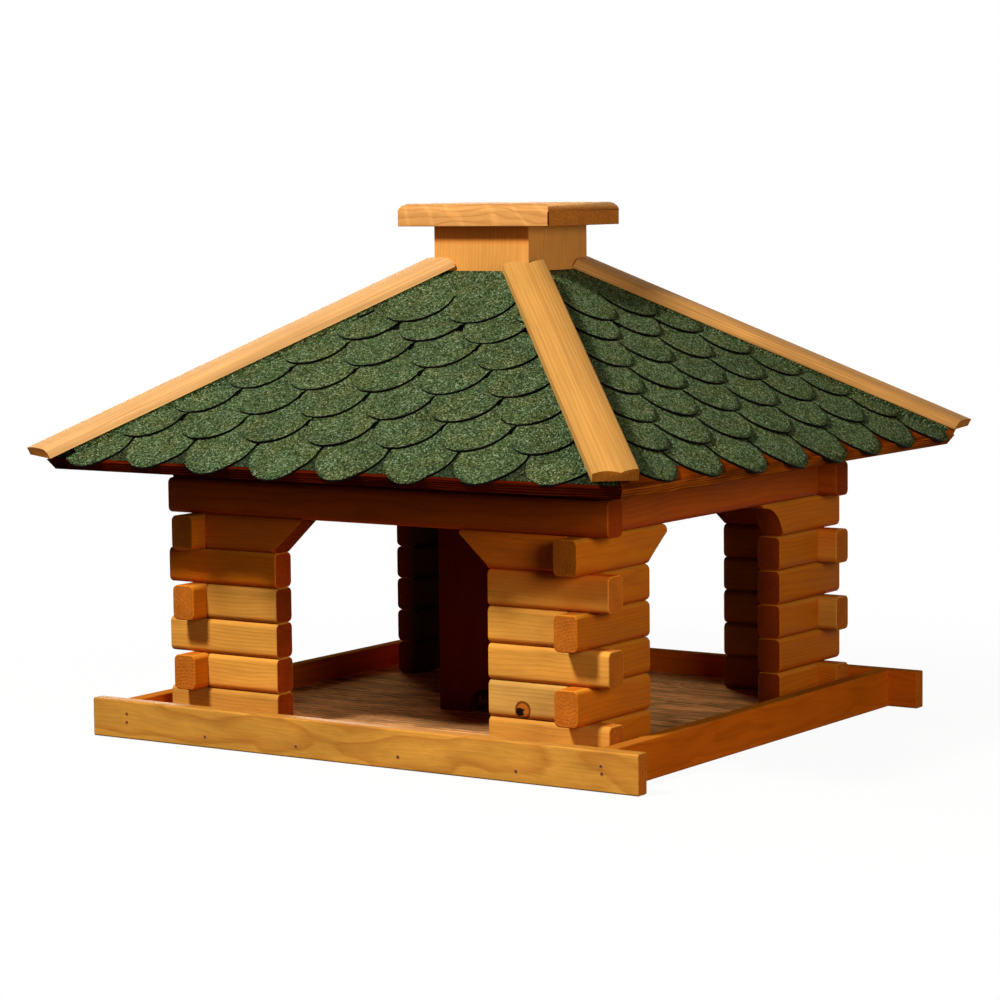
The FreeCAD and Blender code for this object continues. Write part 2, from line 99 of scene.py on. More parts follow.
camera_data = bpy.data.cameras.new("photographer")
camera_data.sensor_width = SENSOR
camera_data.lens = SENSOR * FOCAL_PIXELS / FRAME_PIXELS
camera_data.clip_start, camera_data.clip_end = 0.1, 50
camera = bpy.data.objects.new("photographer", camera_data)
axes = Matrix((right, above, -looking)).transposed()
camera.matrix_world = Matrix.Translation(CAMERA_PLACE) @ axes.to_4x4()
link(camera)
bpy.context.scene.camera = camera
print(f"lens {camera_data.lens:.1f} mm, {camera.location.length:.2f} m from the middle of the tray")

# %% [markdown]
# ## The light
#
# Short shadows under the stub ends show one softbox high in front of the left post, and the
# right-hand faces, about half as bright, show a larger and weaker one on that side. A third
# lamp stands for the bright paper behind the object on the left. Little light comes from the
# rest of the room: the space under the roof is nearly black, and so the world is dim. The
# world and the floor are white only to the camera and in reflections, so that a white
# background adds no light to the wood.


# %% Three softboxes
def softbox(name, place, target, across, watts, tint):
    """A round lamp turned to its target. Gives back its power."""
    lamp = bpy.data.lights.new(name, "AREA")
    lamp.shape, lamp.size = "DISK", across
    lamp.energy, lamp.color = watts, tint
    holder = bpy.data.objects.new(name, lamp)
    holder.location = place
    aim = Vector(target) - Vector(place)
    holder.rotation_euler = aim.to_track_quat("-Z", "Y").to_euler()
    link(holder)
    return watts


lamps = [
    softbox("key_softbox", (-0.35, -1.45, 1.78), (0, 0, 0.2), 0.33, 62, (1.0, 0.99, 0.97)),
    softbox("fill_softbox", (1.95, -1.04, 0.72), (0, 0, 0.2), 0.90, 21, (1.0, 0.90, 0.76)),
    softbox("background_glow", (-2.0, 2.2, 0.95), (0, 0, 0.1), 1.4, 36, (1.0, 0.97, 0.93)),
]
print("lamps of", lamps, "watts")

# %% [markdown]
# ## Colours and nodes
#
# Screen colours are written as sRGB hex because that is how they are read off a picture, but
# the shader works in linear light, so one function turns them. The others add a node, set its
# values and make its links, which keeps every material below a short list.


# %% Helpers for materials
def colour(hex_code):
    """An sRGB hex colour as linear RGBA."""
    parts = [int(hex_code[i:i + 2], 16) / 255 for i in (1, 3, 5)]
    linear = [p / 12.92 if p <= 0.04045 else ((p + 0.055) / 1.055) ** 2.4 for p in parts]
    return (*linear, 1.0)


def plug(node, **sockets):
    """Sets a node's inputs, by name or as _number, to constants or to others' outputs."""
    for socket, content in sockets.items():
        numbered = socket[1:].isdigit()
        where = node.inputs[int(socket[1:]) if numbered else socket.replace("_", " ")]
        if isinstance(content, bpy.types.NodeSocket):
            node.id_data.links.new(content, where)
        else:
            where.default_value = content
    return node


def add(tree, kind, settings=None, **sockets):
    """A new node with its settings and its inputs."""
    node = tree.nodes.new("ShaderNode" + kind)
    for setting, content in (settings or {}).items():
        setattr(node, setting, content)
    return plug(node, **sockets)


def blank_material(name):
    """A new material with an empty shader and its output, ready to be wired."""
    material = bpy.data.materials.new(name)
    material.use_nodes = True
    tree = material.node_tree
    tree.nodes.clear()
    shader = tree.nodes.new("ShaderNodeBsdfPrincipled")
    output = tree.nodes.new("ShaderNodeOutputMaterial")
    tree.links.new(shader.outputs["BSDF"], output.inputs["Surface"])
    return material, tree, shader


def maths(operation, *terms, kind="Math"):
    """The result of a maths node on its terms. The first term is an output of a node."""
    numbered = {f"_{number}": term for number, term in enumerate(terms)}
    return add(terms[0].id_data, kind, {"operation": operation}, **numbered).outputs[0]


def vectors(operation, *terms):
    """The same on vectors."""
    return maths(operation, *terms, kind="VectorMath")


def spread(value, first, last, to_first=0.0, to_last=1.0):
    """A value between first and last, mapped to lie between two other numbers."""
    mapped = add(value.id_data, "MapRange", _0=value, _1=first, _2=last, _3=to_first, _4=to_last)
    return mapped.outputs[0]


def object_place(tree):
    """The place on the object, in metres."""
    return add(tree, "TexCoord").outputs["Object"]


def noise(place, scale, detail, roughness=0.5):
    """A noise node. A scale of three numbers has one for each axis."""
    if isinstance(scale, tuple):
        place, scale = vectors("MULTIPLY", place, scale), 1.0
    return add(place.id_data, "TexNoise", Vector=place, Scale=scale, Detail=detail,
               Roughness=roughness)


def stops(value, points):
    """The colour that a ramp gives for a value. A point is a place from 0 to 1 and a colour."""
    ramp = add(value.id_data, "ValToRGB", _0=value)
    strip = ramp.color_ramp
    while len(strip.elements) > 1:
        strip.elements.remove(strip.elements[-1])
    coloured = [(at, colour(tone) if isinstance(tone, str) else tone) for at, tone in points]
    strip.elements[0].position, strip.elements[0].color = coloured[0]
    for at, tone in coloured[1:]:
        strip.elements.new(at).color = tone
    return ramp.outputs["Color"]


def scaled(lit, factor):
    """A colour made lighter or darker by a factor."""
    settings = {"operation": "SCALE"}
    return add(lit.id_data, "VectorMath", settings, _0=lit, Scale=factor).outputs[0]


def mixed(share, under, over):
    """One colour laid over another by a share from 0 to 1."""
    return add(share.id_data, "MixRGB", Fac=share, Color1=under, Color2=over).outputs[0]


def tinted(lit, share, tint):
    """A colour multiplied by a tint, by a share from 0 to 1."""
    deep = add(lit.id_data, "MixRGB", {"blend_type": "MULTIPLY"}, Fac=1.0, Color1=lit,
               Color2=(*tint, 1))
    return mixed(share, lit, deep.outputs[0])


def turned_along(tree, axis, first, full):
    """0 to 1 for faces turned along an axis; for Z, only for those turned up."""
    way = add(tree, "SeparateXYZ", _0=add(tree, "TexCoord").outputs["Normal"]).outputs[axis]
    if axis != "Z":
        way = maths("ABSOLUTE", way)
    return spread(way, first, full)


def speckled(name, scale, dark, light, **sockets):
    """A material in two tones of fine noise, with constants for its shader."""
    material, tree, shader = blank_material(name)
    crumbs = noise(object_place(tree), scale, 2.0).outputs["Fac"]
    plug(shader, Base_Color=stops(crumbs, ((0.3, dark), (0.8, light))), **sockets)
    return material


print("golden stain in linear light:", [round(c, 3) for c in colour("#d8973f")])

# %% [markdown]
# ## The surroundings
#
# The light path tells who is looking. The camera, and rays that have bounced off something
# shiny, see white; soft light sees only a dim warm grey.


# %% A white world that lights dimly
def seen_directly(tree):
    """1 for the camera and in reflections, 0 for soft light."""
    path = add(tree, "LightPath")
    return maths("MAXIMUM", path.outputs["Is Camera Ray"], path.outputs["Is Glossy Ray"])


world = bpy.data.worlds.new("studio")
bpy.context.scene.world = world
world.use_nodes = True
tree = world.node_tree
tree.nodes.clear()
dim = add(tree, "Background", Color=(1.0, 0.62, 0.38, 1), Strength=0.03)
white = add(tree, "Background", Color=(1, 1, 1, 1), Strength=1.0)
both = add(tree, "MixShader", _0=seen_directly(tree), _1=dim.outputs[0], _2=white.outputs[0])
add(tree, "OutputWorld", Surface=both.outputs[0])
bpy.context.scene.view_settings.view_transform = "Standard"
print("world ready")

# %% [markdown]
# ## The floor
#
# A sheet of white studio paper. It shows almost its own white to the camera and keeps a
# trace of the object's shadow, because a little of it is ordinary matt paper.

# %% Studio paper
PAPER_HALF, PAPER_DROP = 6, 0.0005
paper, tree, shader = blank_material("matt studio paper")
plug(shader, Base_Color=colour("#e9e7e3"), Roughness=0.9)
away = add(tree, "VectorMath", {"operation": "LENGTH"}, _0=object_place(tree)).outputs["Value"]
# Near the object a twentieth of the paper is matt, and past a metre none is.
seen = maths("MULTIPLY", seen_directly(tree), spread(away, 0.5, 1.1, 0.95, 1.0))
glow = add(tree, "Emission", Color=(1, 1, 1, 1), Strength=1.0)
both = add(tree, "MixShader", _0=seen, _1=shader.outputs[0], _2=glow.outputs[0])
tree.links.new(both.outputs[0], tree.nodes["Material Output"].inputs["Surface"])


def as_mesh(name, bm, *materials):
    """A mesh from a bmesh, which is freed."""
    mesh = bpy.data.meshes.new(name)
    bm.to_mesh(mesh)
    bm.free()
    for material in materials:
        mesh.materials.append(material)
    return mesh


sheet = bmesh.new()
bmesh.ops.create_grid(sheet, x_segments=8, y_segments=8, size=PAPER_HALF)
studio_floor = bpy.data.objects.new("studio_floor", as_mesh("studio_floor", sheet, paper))
studio_floor.location.z = -PAPER_DROP
studio_floor.visible_diffuse = False
link(studio_floor)
print("floor laid")

# %% [markdown]
# ## Pine under a golden stain
#
# A tree grows a pale ring in spring and a darker, harder one in summer. A board is cut through
# those rings, so the same pattern gives lines along its faces, arches where the cut is nearly
# along the ring, and arcs on its ends. So the colour here is a solid pattern of rings round a
# pith line, three or four millimetres apart and a little wavy, and each piece of timber only
# says where it was cut from the tree. That place is kept in the mesh as an attribute called
# grain: metres along, across and up from the pith. The stain is satin: it fills the pores,
# darkens unevenly and leaves a soft sheen.

# %% A recipe for stained softwood
# The ring pattern's own period is this over its scale.
RING_PERIOD = 0.314
# One year's growth, from pale spring wood to dark summer wood, as (place, darkness).
YEAR = ((0.0, 0.0), (0.45, 0.12), (0.86, 1.0), (1.0, 0.05))
# An orange knot ringed by dark bark, and a bead of black resin that sits low in it.
KNOT = ((0.0, "#a85a1c"), (0.6, "#b4631f"), (0.84, "#7a3c12"), (0.93, "#5a260a"), (1.0, "#8c4b18"))
RESIN = ((0.0, "#0a0403"), (0.8, "#140805"), (1.0, "#5a2a0e"))


def stained_pine(name, spring, summer, turn=None, offset=(0, 0, 0), ring=0.0036, wave=0.006,
                 ring_share=0.3, streak=0.10, blotch=0.18, sheen=0.55, level=0.05, relief=0.18,
                 end=False, knots=(), shaded=(), courses=False, figure=0.0, facing=()):
    """Rings round a pith, fibres along them, and a stain that took unevenly.

    The grain attribute gives the place in the tree. For a CAD piece, which has none, turn
    and offset bring the frame's own axes on to the grain.
    """
    material, tree, shader = blank_material(name)
    here = object_place(tree)
    if turn is None:
        place = add(tree, "Attribute", {"attribute_name": "grain"}).outputs["Vector"]
        tone = add(tree, "Attribute", {"attribute_name": "tone"}).outputs["Fac"]
    else:
        angles = [math.radians(degrees) for degrees in turn]
        place = add(tree, "Mapping", Vector=here, Location=offset, Rotation=angles).outputs[0]
        tone = 1.0
    # The trunk isn't straight: the rings wander a few millimetres over a hand's length.
    drift = noise(place, (7, 16, 16), 2.0).outputs["Color"]
    drift = vectors("SUBTRACT", drift, (0.5, 0.5, 0.5))
    drift = vectors("MULTIPLY", drift, (0, wave * 2, wave * 2))
    bent = vectors("ADD", place, drift)
    rings = add(tree, "TexWave",
                {"wave_type": "RINGS", "rings_direction": "X", "wave_profile": "SAW"},
                Vector=bent, Scale=RING_PERIOD / ring, Distortion=0.6, Detail=2.0, Detail_Scale=0.4)
    growth = stops(rings.outputs["Fac"], [(at, (dark, dark, dark, 1)) for at, dark in YEAR])
    share = maths("MULTIPLY", growth, ring_share)
    lit = mixed(share, colour(spring), colour(summer))
    # Fibres: fine lines half a millimetre to two wide and a few centimetres long.
    thin = (120, 850, 850) if end else (9, 620, 620)
    fibres = noise(bent, thin, 3.0, 0.6).outputs["Fac"]
    lit = scaled(lit, spread(fibres, 0.35, 0.75, 1 + streak * 0.5, 1 - streak))
    # The stain's own unevenness, in patches as wide as a hand and as narrow as a finger.
    patches = noise(place, (11, 38, 38), 4.0, 0.55).outputs["Fac"]
    lit = scaled(lit, spread(patches, 0.3, 0.7, 1 - blotch * 0.6, 1 + blotch * 0.5))
    lit = scaled(lit, tone)
    height = add(tree, "SeparateXYZ", _0=here).outputs["Z"]
    if figure:
        # Curly grain: pale bands that lean across the board, a centimetre apart.
        bands = add(tree, "TexWave", {"wave_type": "BANDS", "bands_direction": "DIAGONAL"},
                    Vector=bent, Scale=17.0, Distortion=5.5, Detail=1.5, Detail_Scale=0.9)
        lit = scaled(lit, spread(bands.outputs["Fac"], 0.84, 1.0, 1.0, 1.0 + figure))
    if courses:
        # Painted shade under each log's lower edge, along the joint with the course below: darker
        # and redder there.
        groove = maths("MODULO", maths("SUBTRACT", height, FLOOR), COURSE)
        groove = maths("MULTIPLY_ADD", patches, -0.008, groove)
        lit = tinted(lit, spread(groove, -0.002, 0.004, 0.8, 0.0), (0.8, 0.5, 0.25))
    for axis, first, full, tint in facing:
        # Painted light and shade: faces turned one way get a tint of their own.
        lit = tinted(lit, turned_along(tree, axis, first, full), tint)
    for start, stop, tint, *only in shaded:
        # Painted shade: the wood between two heights gets a tint, on all faces or on those turned
        # one way only.
        under = spread(height, start, stop)
        for axis in only:
            under = maths("MULTIPLY", under, turned_along(tree, axis, 0.4, 0.6))
        lit = tinted(lit, under, tint)
    for where, radius in knots:
        rough = noise(here, 330.0, 3.0).outputs["Fac"]
        bead = Vector(where) - Vector((radius * 0.32, 0, radius * 0.2))
        for middle, reach, wobble, tones in ((Vector(where), radius, 0.25, KNOT),
                                             (bead, radius * 0.5, 1.1, RESIN)):
            far = add(tree, "VectorMath", {"operation": "DISTANCE"}, _0=here, _1=middle)
            ragged = maths("MULTIPLY_ADD", rough, reach * wobble, far.outputs["Value"])
            outward = spread(ragged, reach * wobble * 0.5, reach * (1 + wobble * 0.5))
            share = spread(outward, 0.94, 1.0, 1.0, 0.0)
            lit = mixed(share, lit, stops(outward, tones))
    worn = spread(patches, 0.25, 0.75, sheen - 0.08, sheen + 0.1)
    raised = maths("MULTIPLY_ADD", fibres, 0.6, growth)
    bump = add(tree, "Bump", Strength=relief, Distance=0.0006, Height=raised)
    plug(shader, Base_Color=lit, Roughness=worn, IOR=1.48, Specular_IOR_Level=level,
         Normal=bump.outputs[0])
    return material


# Painted shade of the eave: the two top courses are tinted deeper and redder.
EAVE_SHADE_PAINTED = [(0.160, 0.210, (1.2, 0.66, 0.3))]
# Painted light: the upper faces of the side logs are tinted paler, back towards the lit colour.
TOPS_LIGHT_PAINTED = [("Z", 0.3, 0.9, (1.15, 1.6, 3.5))]
END_GRAIN = {"ring_share": 0.07, "streak": 0.45, "blotch": 0.3, "sheen": 0.7, "level": 0.04,
             "relief": 0.28, "end": True}
LOG_FACE = {"courses": True, "blotch": 0.3, "ring_share": 0.25}
PINE = stained_pine("satin-stained pine", "#d8953c", "#b97327", shaded=EAVE_SHADE_PAINTED, **LOG_FACE)
# A copy of the pine with painted shade, deeper and redder, for the faces of the side logs and of
# two other logs.
PINE_SHADE_PAINTED = stained_pine("satin-stained pine, painted shade", "#c66d12", "#a64f0a", courses=True,
                         facing=TOPS_LIGHT_PAINTED)
# A darker copy with painted shade for the tie logs, which lie in the eave's shadow.
PINE_EAVE_SHADE_PAINTED = stained_pine("satin-stained pine, painted eave shade", "#b65410", "#863406", blotch=0.35,
                         courses=True)
PINE_END = stained_pine("stained pine end grain", "#b8641b", "#954a10", **END_GRAIN)
# Darker end grain, painted shade: on the inner ends and the bracket cuts of the post logs, and on
# both ends of the tie logs.
PINE_END_SHADE_PAINTED = stained_pine("stained pine end grain, inner", "#8f380a", "#6c2405", **END_GRAIN)
KNOTTY = stained_pine("satin-stained pine with a knot", "#c49246", "#a87132",
                      knots=[((0.1742, -0.250, 0.0622), 0.0095)], **LOG_FACE)
print("pine in", len((PINE, PINE_SHADE_PAINTED, PINE_EAVE_SHADE_PAINTED, PINE_END, PINE_END_SHADE_PAINTED, KNOTTY)), "cuts")

# %% [markdown]
# ## Drawing timber
#
# Each log is planed to 28 by 37 mm with its four long edges rounded over, so that a stack
# shows a groove at every course. One could model one log and copy it, but then every log has
# the same face. A loft does better: the same rounded outline is set at several places along
# the piece, a little smaller at the sawn ends, and cut off from below where a bracket is
# sawn. The grain attribute is then written from a place in the tree drawn by lot.


# %% Outlines and lofts
# How near two lengths count as one.
NEAR = 1e-9


def rounded(width, height, radius, inset=0.0, steps=5):
    """Outline of a rounded rectangle as (across, up) points, standing on up = 0."""
    radius = max(radius - inset, 0.0002)
    half = width / 2 - inset - radius
    low, high = inset + radius, height - inset - radius
    points = []
    corners = ((half, high, 0), (-half, high, 90), (-half, low, 180), (half, low, 270))
    for across, up, first in corners:
        for step in range(steps + 1):
            turn = math.radians(first + 90 * step / steps)
            points.append((across + radius * math.cos(turn), up + radius * math.sin(turn)))
    return points


def half_width_at(outline, height):
    """How far the outline reaches to the side at a height."""
    reach = 0.0
    for (y0, z0), (y1, z1) in zip(outline, outline[1:] + outline[:1]):
        if y0 > 0 and y1 > 0 and min(z0, z1) - NEAR <= height <= max(z0, z1) + NEAR:
            share = 0.5 if abs(z1 - z0) < NEAR else (height - z0) / (z1 - z0)
            reach = max(reach, y0 + (y1 - y0) * share)
    return reach


def timber(length, width, height, radius=0.006, ease=0.0012, cut=None):
    """A length of timber along X from 0, as vertices, faces and a mark on each face.

    A mark is 1 on the end at 0, 2 on the far end and on what the saw leaves, and 0 elsewhere.
    cut gives (along, up) points of a saw line that takes the wood below it away.
    """
    marks = [(0.0, ease), (0.3 * ease, 0.3 * ease), (ease, 0.0)]
    marks += [(length * step / 6, 0.0) for step in range(1, 6)]
    marks += [(length - ease, 0.0), (length - 0.3 * ease, 0.3 * ease), (length, ease)]
    if cut:
        marks = [m for m in marks if m[0] < cut[0][0] - 0.001]
        marks += [(along, 0.0) for along, up in cut]
    verts, faces, sawn = [], [], []
    full = rounded(width, height, radius)
    count = len(full)
    for number, (along, inset) in enumerate(marks):
        low = dict(cut).get(along, 0.0) if cut else 0.0
        outline = rounded(width, height, radius, inset)
        for across, up in outline:
            if up <= low and low > 0:
                across = math.copysign(min(abs(across), half_width_at(full, low)), across)
                up = low
            verts.append(Vector((along, across, up)))
    under_side = [up < radius * 0.7 for across, up in full]
    for ring in range(len(marks) - 1):
        for i in range(count):
            j = (i + 1) % count
            a, b = ring * count + i, ring * count + j
            faces.append((a, b, b + count, a + count))
            below = cut and marks[ring][0] >= cut[0][0] - NEAR and under_side[i] and under_side[j]
            sawn.append(2 if below else 0)
    last = (len(marks) - 1) * count
    faces.append(tuple(range(count))[::-1])
    faces.append(tuple(last + i for i in range(count)))
    sawn += [1, 2]
    return verts, faces, sawn


print("a log's outline has", len(rounded(LOG_THICK, COURSE, 0.006)), "points")

# %% [markdown]
# ## From lists to a piece
#
# A piece may hold several lengths of timber. The lists of all of them are gathered first and
# become one mesh, with two attributes: grain, the place in the tree, and tone, a number near
# one by which this length is lighter or darker: its own take of the stain, and on some pieces
# painted shade and light as well. The weighted normals keep the wide faces flat in shading
# while the rounded edges stay smooth.


# %% Gathering and making
lots = random.Random(1847)
TRUNK = 3


def cut_at(across, up):
    """A place in the tree this far from the pith, in metres."""
    return Vector((lots.uniform(0, TRUNK), across, up))


def place_in_tree():
    """Where a board was cut, drawn by lot."""
    distance = lots.uniform(0.022, 0.075)
    turn = lots.uniform(0, 2 * math.pi)
    return cut_at(distance * math.cos(turn), distance * math.sin(turn))


def within_walls(v):
    """Whether a point lies inside the middle line of the walls."""
    return abs(v.x) < (HOUSE.x - LOG_THICK) / 2 and abs(v.y) < (HOUSE.y - LOG_THICK) / 2


def empty_store():
    return {"verts": [], "grain": [], "tone": [], "faces": [], "sawn": []}


def gather(store, part, matrix, place=None, tone=None, coats=(0, 1, 1), inside=1.0):
    """Adds a timber, moved into the frame by a matrix, to the lists of a piece.

    coats says which of the piece's materials each mark takes, and inside how much of the tone
    is left on the faces towards the middle of the house, as painted shade.
    """
    verts, faces, sawn = part
    place = place_in_tree() if place is None else place
    tone = lots.uniform(0.9, 1.06) if tone is None else tone
    first = len(store["verts"])
    moved = [matrix @ v for v in verts]
    store["verts"] += moved
    store["grain"] += [v + place for v in verts]
    store["tone"] += [tone * (inside if within_walls(v) else 1.0) for v in moved]
    store["faces"] += [tuple(first + i for i in face) for face in faces]
    store["sawn"] += [coats[int(mark)] for mark in sawn]


def show(name, mesh, slot, *nodes, body="house"):
    """An object from a mesh, riding on its body and standing for its CAD nodes."""
    piece = bpy.data.objects.new(name, mesh)
    link(piece)
    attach(piece, body)
    if nodes:
        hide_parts(*nodes)
    return piece


def make_piece(name, store, materials, slot, *nodes, body="house", sharp=50):
    """One object from the lists. The slot is not used."""
    mesh = bpy.data.meshes.new(name)
    mesh.from_pydata([tuple(v) for v in store["verts"]], [], store["faces"])
    grain = mesh.attributes.new("grain", "FLOAT_VECTOR", "POINT")
    grain.data.foreach_set("vector", [c for v in store["grain"] for c in v])
    tone = mesh.attributes.new("tone", "FLOAT", "POINT")
    tone.data.foreach_set("value", store["tone"])
    for material in materials:
        mesh.materials.append(material)
    mesh.polygons.foreach_set("material_index", store["sawn"])
    mesh.polygons.foreach_set("use_smooth", [True] * len(mesh.polygons))
    mesh.set_sharp_from_angle(angle=math.radians(sharp))
    mesh.update()
    piece = show(name, mesh, slot, *nodes, body=body)
    flat = piece.modifiers.new("flat faces", "WEIGHTED_NORMAL")
    flat.keep_sharp = True


print("ready to build")

# %% [markdown]
# ## The corner posts
#
# Every post is six courses of two short logs. One runs through and past the corner, the other
# butts against it, and they take turns, so the stub ends stand out like a log cabin's. The
# logs of the top course are longer and sawn to brackets: a slant, or a hollow on the side
# logs at the back. Near the camera one log has a knot with a bead of dried resin.

# %% Six courses at each corner
CORNERS = {"front_left": (-1, -1), "front_right": (1, -1), "back_right": (1, 1),
           "back_left": (-1, 1)}
# Tones of some logs: two low ones on the front left post are darker, and the upper logs of
# both front posts carry painted shade and light of the eave's shadow. Two logs take the pine
# copy with painted shade.
LOG_TONE_AND_SHADE = {"post_front_left_1": 0.88, "post_front_left_3": 0.88, "post_front_left_4": 0.84,
           "post_front_left_5": 1.25, "post_front_left_6": 0.75, "post_front_right_5": 1.3,
           "post_front_right_6": 1.08}
SHADE_PAINTED_LOGS = ("post_front_left_5", "post_back_right_1")
# Painted shade inside the house: how much of the tone is left on the faces towards the middle.
INSIDE_SHADE = {"front_left": 1.0, "front_right": 1.0, "back_right": 0.5, "back_left": 0.06}
HOLLOW_STEPS = 10


def saw_line(length, hollow, nose):
    """Saw line of a bracket, a slant or a hollow, that leaves a nose at the top of the log."""
    drop = COURSE - nose
    if not hollow:
        return [(length - BRACKET, 0.0), (length, drop)]
    points = []
    for step in range(HOLLOW_STEPS + 1):
        turn = math.radians(90 * step / HOLLOW_STEPS)
        along, up = length - COVE * math.cos(turn), drop - COVE + COVE * math.sin(turn)
        if up > -NEAR:
            points.append((along, up))
    low = length - math.sqrt(COVE**2 - (COVE - drop)**2)
    return [(low, 0.0)] + points


def log(leg, through, bracket=None):
    """How far a log starts outside its corner, and its timber."""
    start = OVERHANG if through else -LOG_THICK
    length = leg + start + (BRACKET if bracket else 0)
    cut = saw_line(length, *bracket) if bracket else None
    return start, timber(length, LOG_THICK, COURSE, cut=cut)


def turned(x, y, z, degrees):
    """A place, after a turn about the upright axis."""
    return Matrix.Translation((x, y, z)) @ Matrix.Rotation(math.radians(degrees), 4, "Z")


for corner, (side_x, side_y) in CORNERS.items():
    wall_x, wall_y = side_x * (HOUSE.x - LOG_THICK) / 2, side_y * (HOUSE.y - LOG_THICK) / 2
    side_bracket = (False, SIDE_NOSE) if side_y < 0 else (True, BRACKET_NOSE)
    for course in range(POST_COURSES):
        node = f"post_{corner}_{course + 1}"
        through_x = course % 2 == 0
        top = course == POST_COURSES - 1
        height = FLOOR + course * COURSE
        store = empty_store()
        start, part = log(LEG_X, through_x, (False, BRACKET_NOSE) if top else None)
        matrix = turned(side_x * (HOUSE.x / 2 + start), wall_y, height, 0 if side_x < 0 else 180)
        tone = lots.uniform(0.93, 1.05) * LOG_TONE_AND_SHADE.get(node, 1.0)
        coats = (2 if node in SHADE_PAINTED_LOGS else 0, 1, 3)
        gather(store, part, matrix, tone=tone, coats=coats, inside=INSIDE_SHADE[corner])
        # The side log's faces take the pine copy with painted shade.
        start, part = log(LEG_Y, not through_x, side_bracket if top else None)
        matrix = turned(wall_x, side_y * (HOUSE.y / 2 + start), height, 90 if side_y < 0 else 270)
        gather(store, part, matrix, coats=(2, 1, 3), inside=INSIDE_SHADE[corner])
        woods = [KNOTTY if node == "post_front_right_2" else PINE, PINE_END, PINE_SHADE_PAINTED, PINE_END_SHADE_PAINTED]
        make_piece(f"logs_{corner}_{course + 1}", store, woods, "log_pine", node)
print("48 logs in", POST_COURSES * len(CORNERS), "pieces")

# %% [markdown]
# ## The top course
#
# Four long logs tie the posts together and carry the roof. The front and back ones run
# through past the corners, and the side ones butt between them.

# %% Tie logs
# Each side is drawn as the front, then turned by these degrees; it runs along this axis.
SIDES = {"front": (0, "x"), "right": (90, "y"), "back": (180, "x"), "left": (270, "y")}


def side_lengths(axis):
    """The house's length along a side and across it."""
    return (HOUSE.x, HOUSE.y) if axis == "x" else (HOUSE.y, HOUSE.x)


def on_side(degrees, *place):
    """A place on the front side, turned to another side."""
    return Matrix.Rotation(math.radians(degrees), 4, "Z") @ Matrix.Translation(place)


for side, (degrees, axis) in SIDES.items():
    runs, across = side_lengths(axis)
    reach = runs / 2 + (OVERHANG if axis == "x" else -LOG_THICK)
    store = empty_store()
    matrix = on_side(degrees, -reach, -across / 2 + LOG_THICK / 2, FLOOR + POST_COURSES * COURSE)
    gather(store, timber(2 * reach, LOG_THICK, COURSE), matrix)
    make_piece(f"tie_log_{side}", store, [PINE_EAVE_SHADE_PAINTED, PINE_END_SHADE_PAINTED], "log_pine", f"beam_{side}")
print("top course laid")

# %% [markdown]
# ## The rim of the tray
#
# Planed strips on edge, nailed round the floor, so that seed isn't blown off. They are cut
# nearly along the rings, which draws tall arches on the front one, and their edges are only
# broken with a plane. The front and back strips run past the side ones like horns.

# %% Rim strips
RIM_THICK, RIM_HEIGHT, MARGIN, HORN = 0.016, 0.041, 0.053, 0.034
# The front strip is darker towards its left end: tone in the middle, and per metre.
RIM_TONE, RIM_FADE = 1.02, 0.36
# The front strip's top face is tinted darker: painted shade.
RIM = stained_pine("satin-stained pine strip", "#cf9038", "#a4581a", wave=0.013, ring=0.0060,
                   ring_share=0.5, blotch=0.32, streak=0.16, figure=0.03,
                   facing=[("Z", 0.3, 0.9, (0.78, 0.76, 0.8))])
# A copy with painted shade for the side and back strips, deeper and redder; its top faces are
# tinted paler again, painted light.
RIM_SHADE_PAINTED = stained_pine("satin-stained pine strip, painted shade", "#cd6511", "#a94b0a", wave=0.008,
                        ring=0.0042, ring_share=0.35, level=0.0,
                        facing=[("Z", 0.3, 0.9, (0.77, 1.15, 2.3))])
for side, (degrees, axis) in SIDES.items():
    runs, across = side_lengths(axis)
    reach = runs / 2 + (MARGIN + HORN if axis == "x" else MARGIN - RIM_THICK)
    store = empty_store()
    part = timber(2 * reach, RIM_THICK, RIM_HEIGHT, radius=0.002, ease=0.001)
    matrix = on_side(degrees, -reach, -across / 2 - MARGIN + RIM_THICK / 2, 0)
    gather(store, part, matrix, place=cut_at(-0.03, -0.021), tone=1.0)
    if side == "front":
        store["tone"] = [RIM_TONE + RIM_FADE * v.x for v in store["verts"]]
    woods = [RIM if side == "front" else RIM_SHADE_PAINTED, PINE_END]
    make_piece(f"rim_strip_{side}", store, woods, "rim_pine", f"rim_{side}")
print("rim", RIM_HEIGHT * 1000, "mm high")

# %% [markdown]
# ## The roof's shingles
#
# Felt shingles with round tabs are cut from sheets of bitumen felt that are rolled in crushed
# slate: the face is dark green grit and the cut edge is black. Seven courses lap each other on
# each side, trimmed on the hips and round the column. A flat sheet with a picture of tabs
# would have no shadow under its edges, so each course is a real sheet here: a grid over each
# tab, joined above the slits, bent over the course below, curled a little at the tips, cut on
# the hips, and given the felt's thickness last. The rim of that thickness gets the bitumen.

# %% Slate grit and bitumen
GRAINS = 640.0
SLATE = ((0.0, "#1f2917"), (0.2, "#394d2d"), (0.5, "#546a3d"), (0.76, "#6b8250"),
         (0.92, "#899d73"), (1.0, "#aebe9a"))


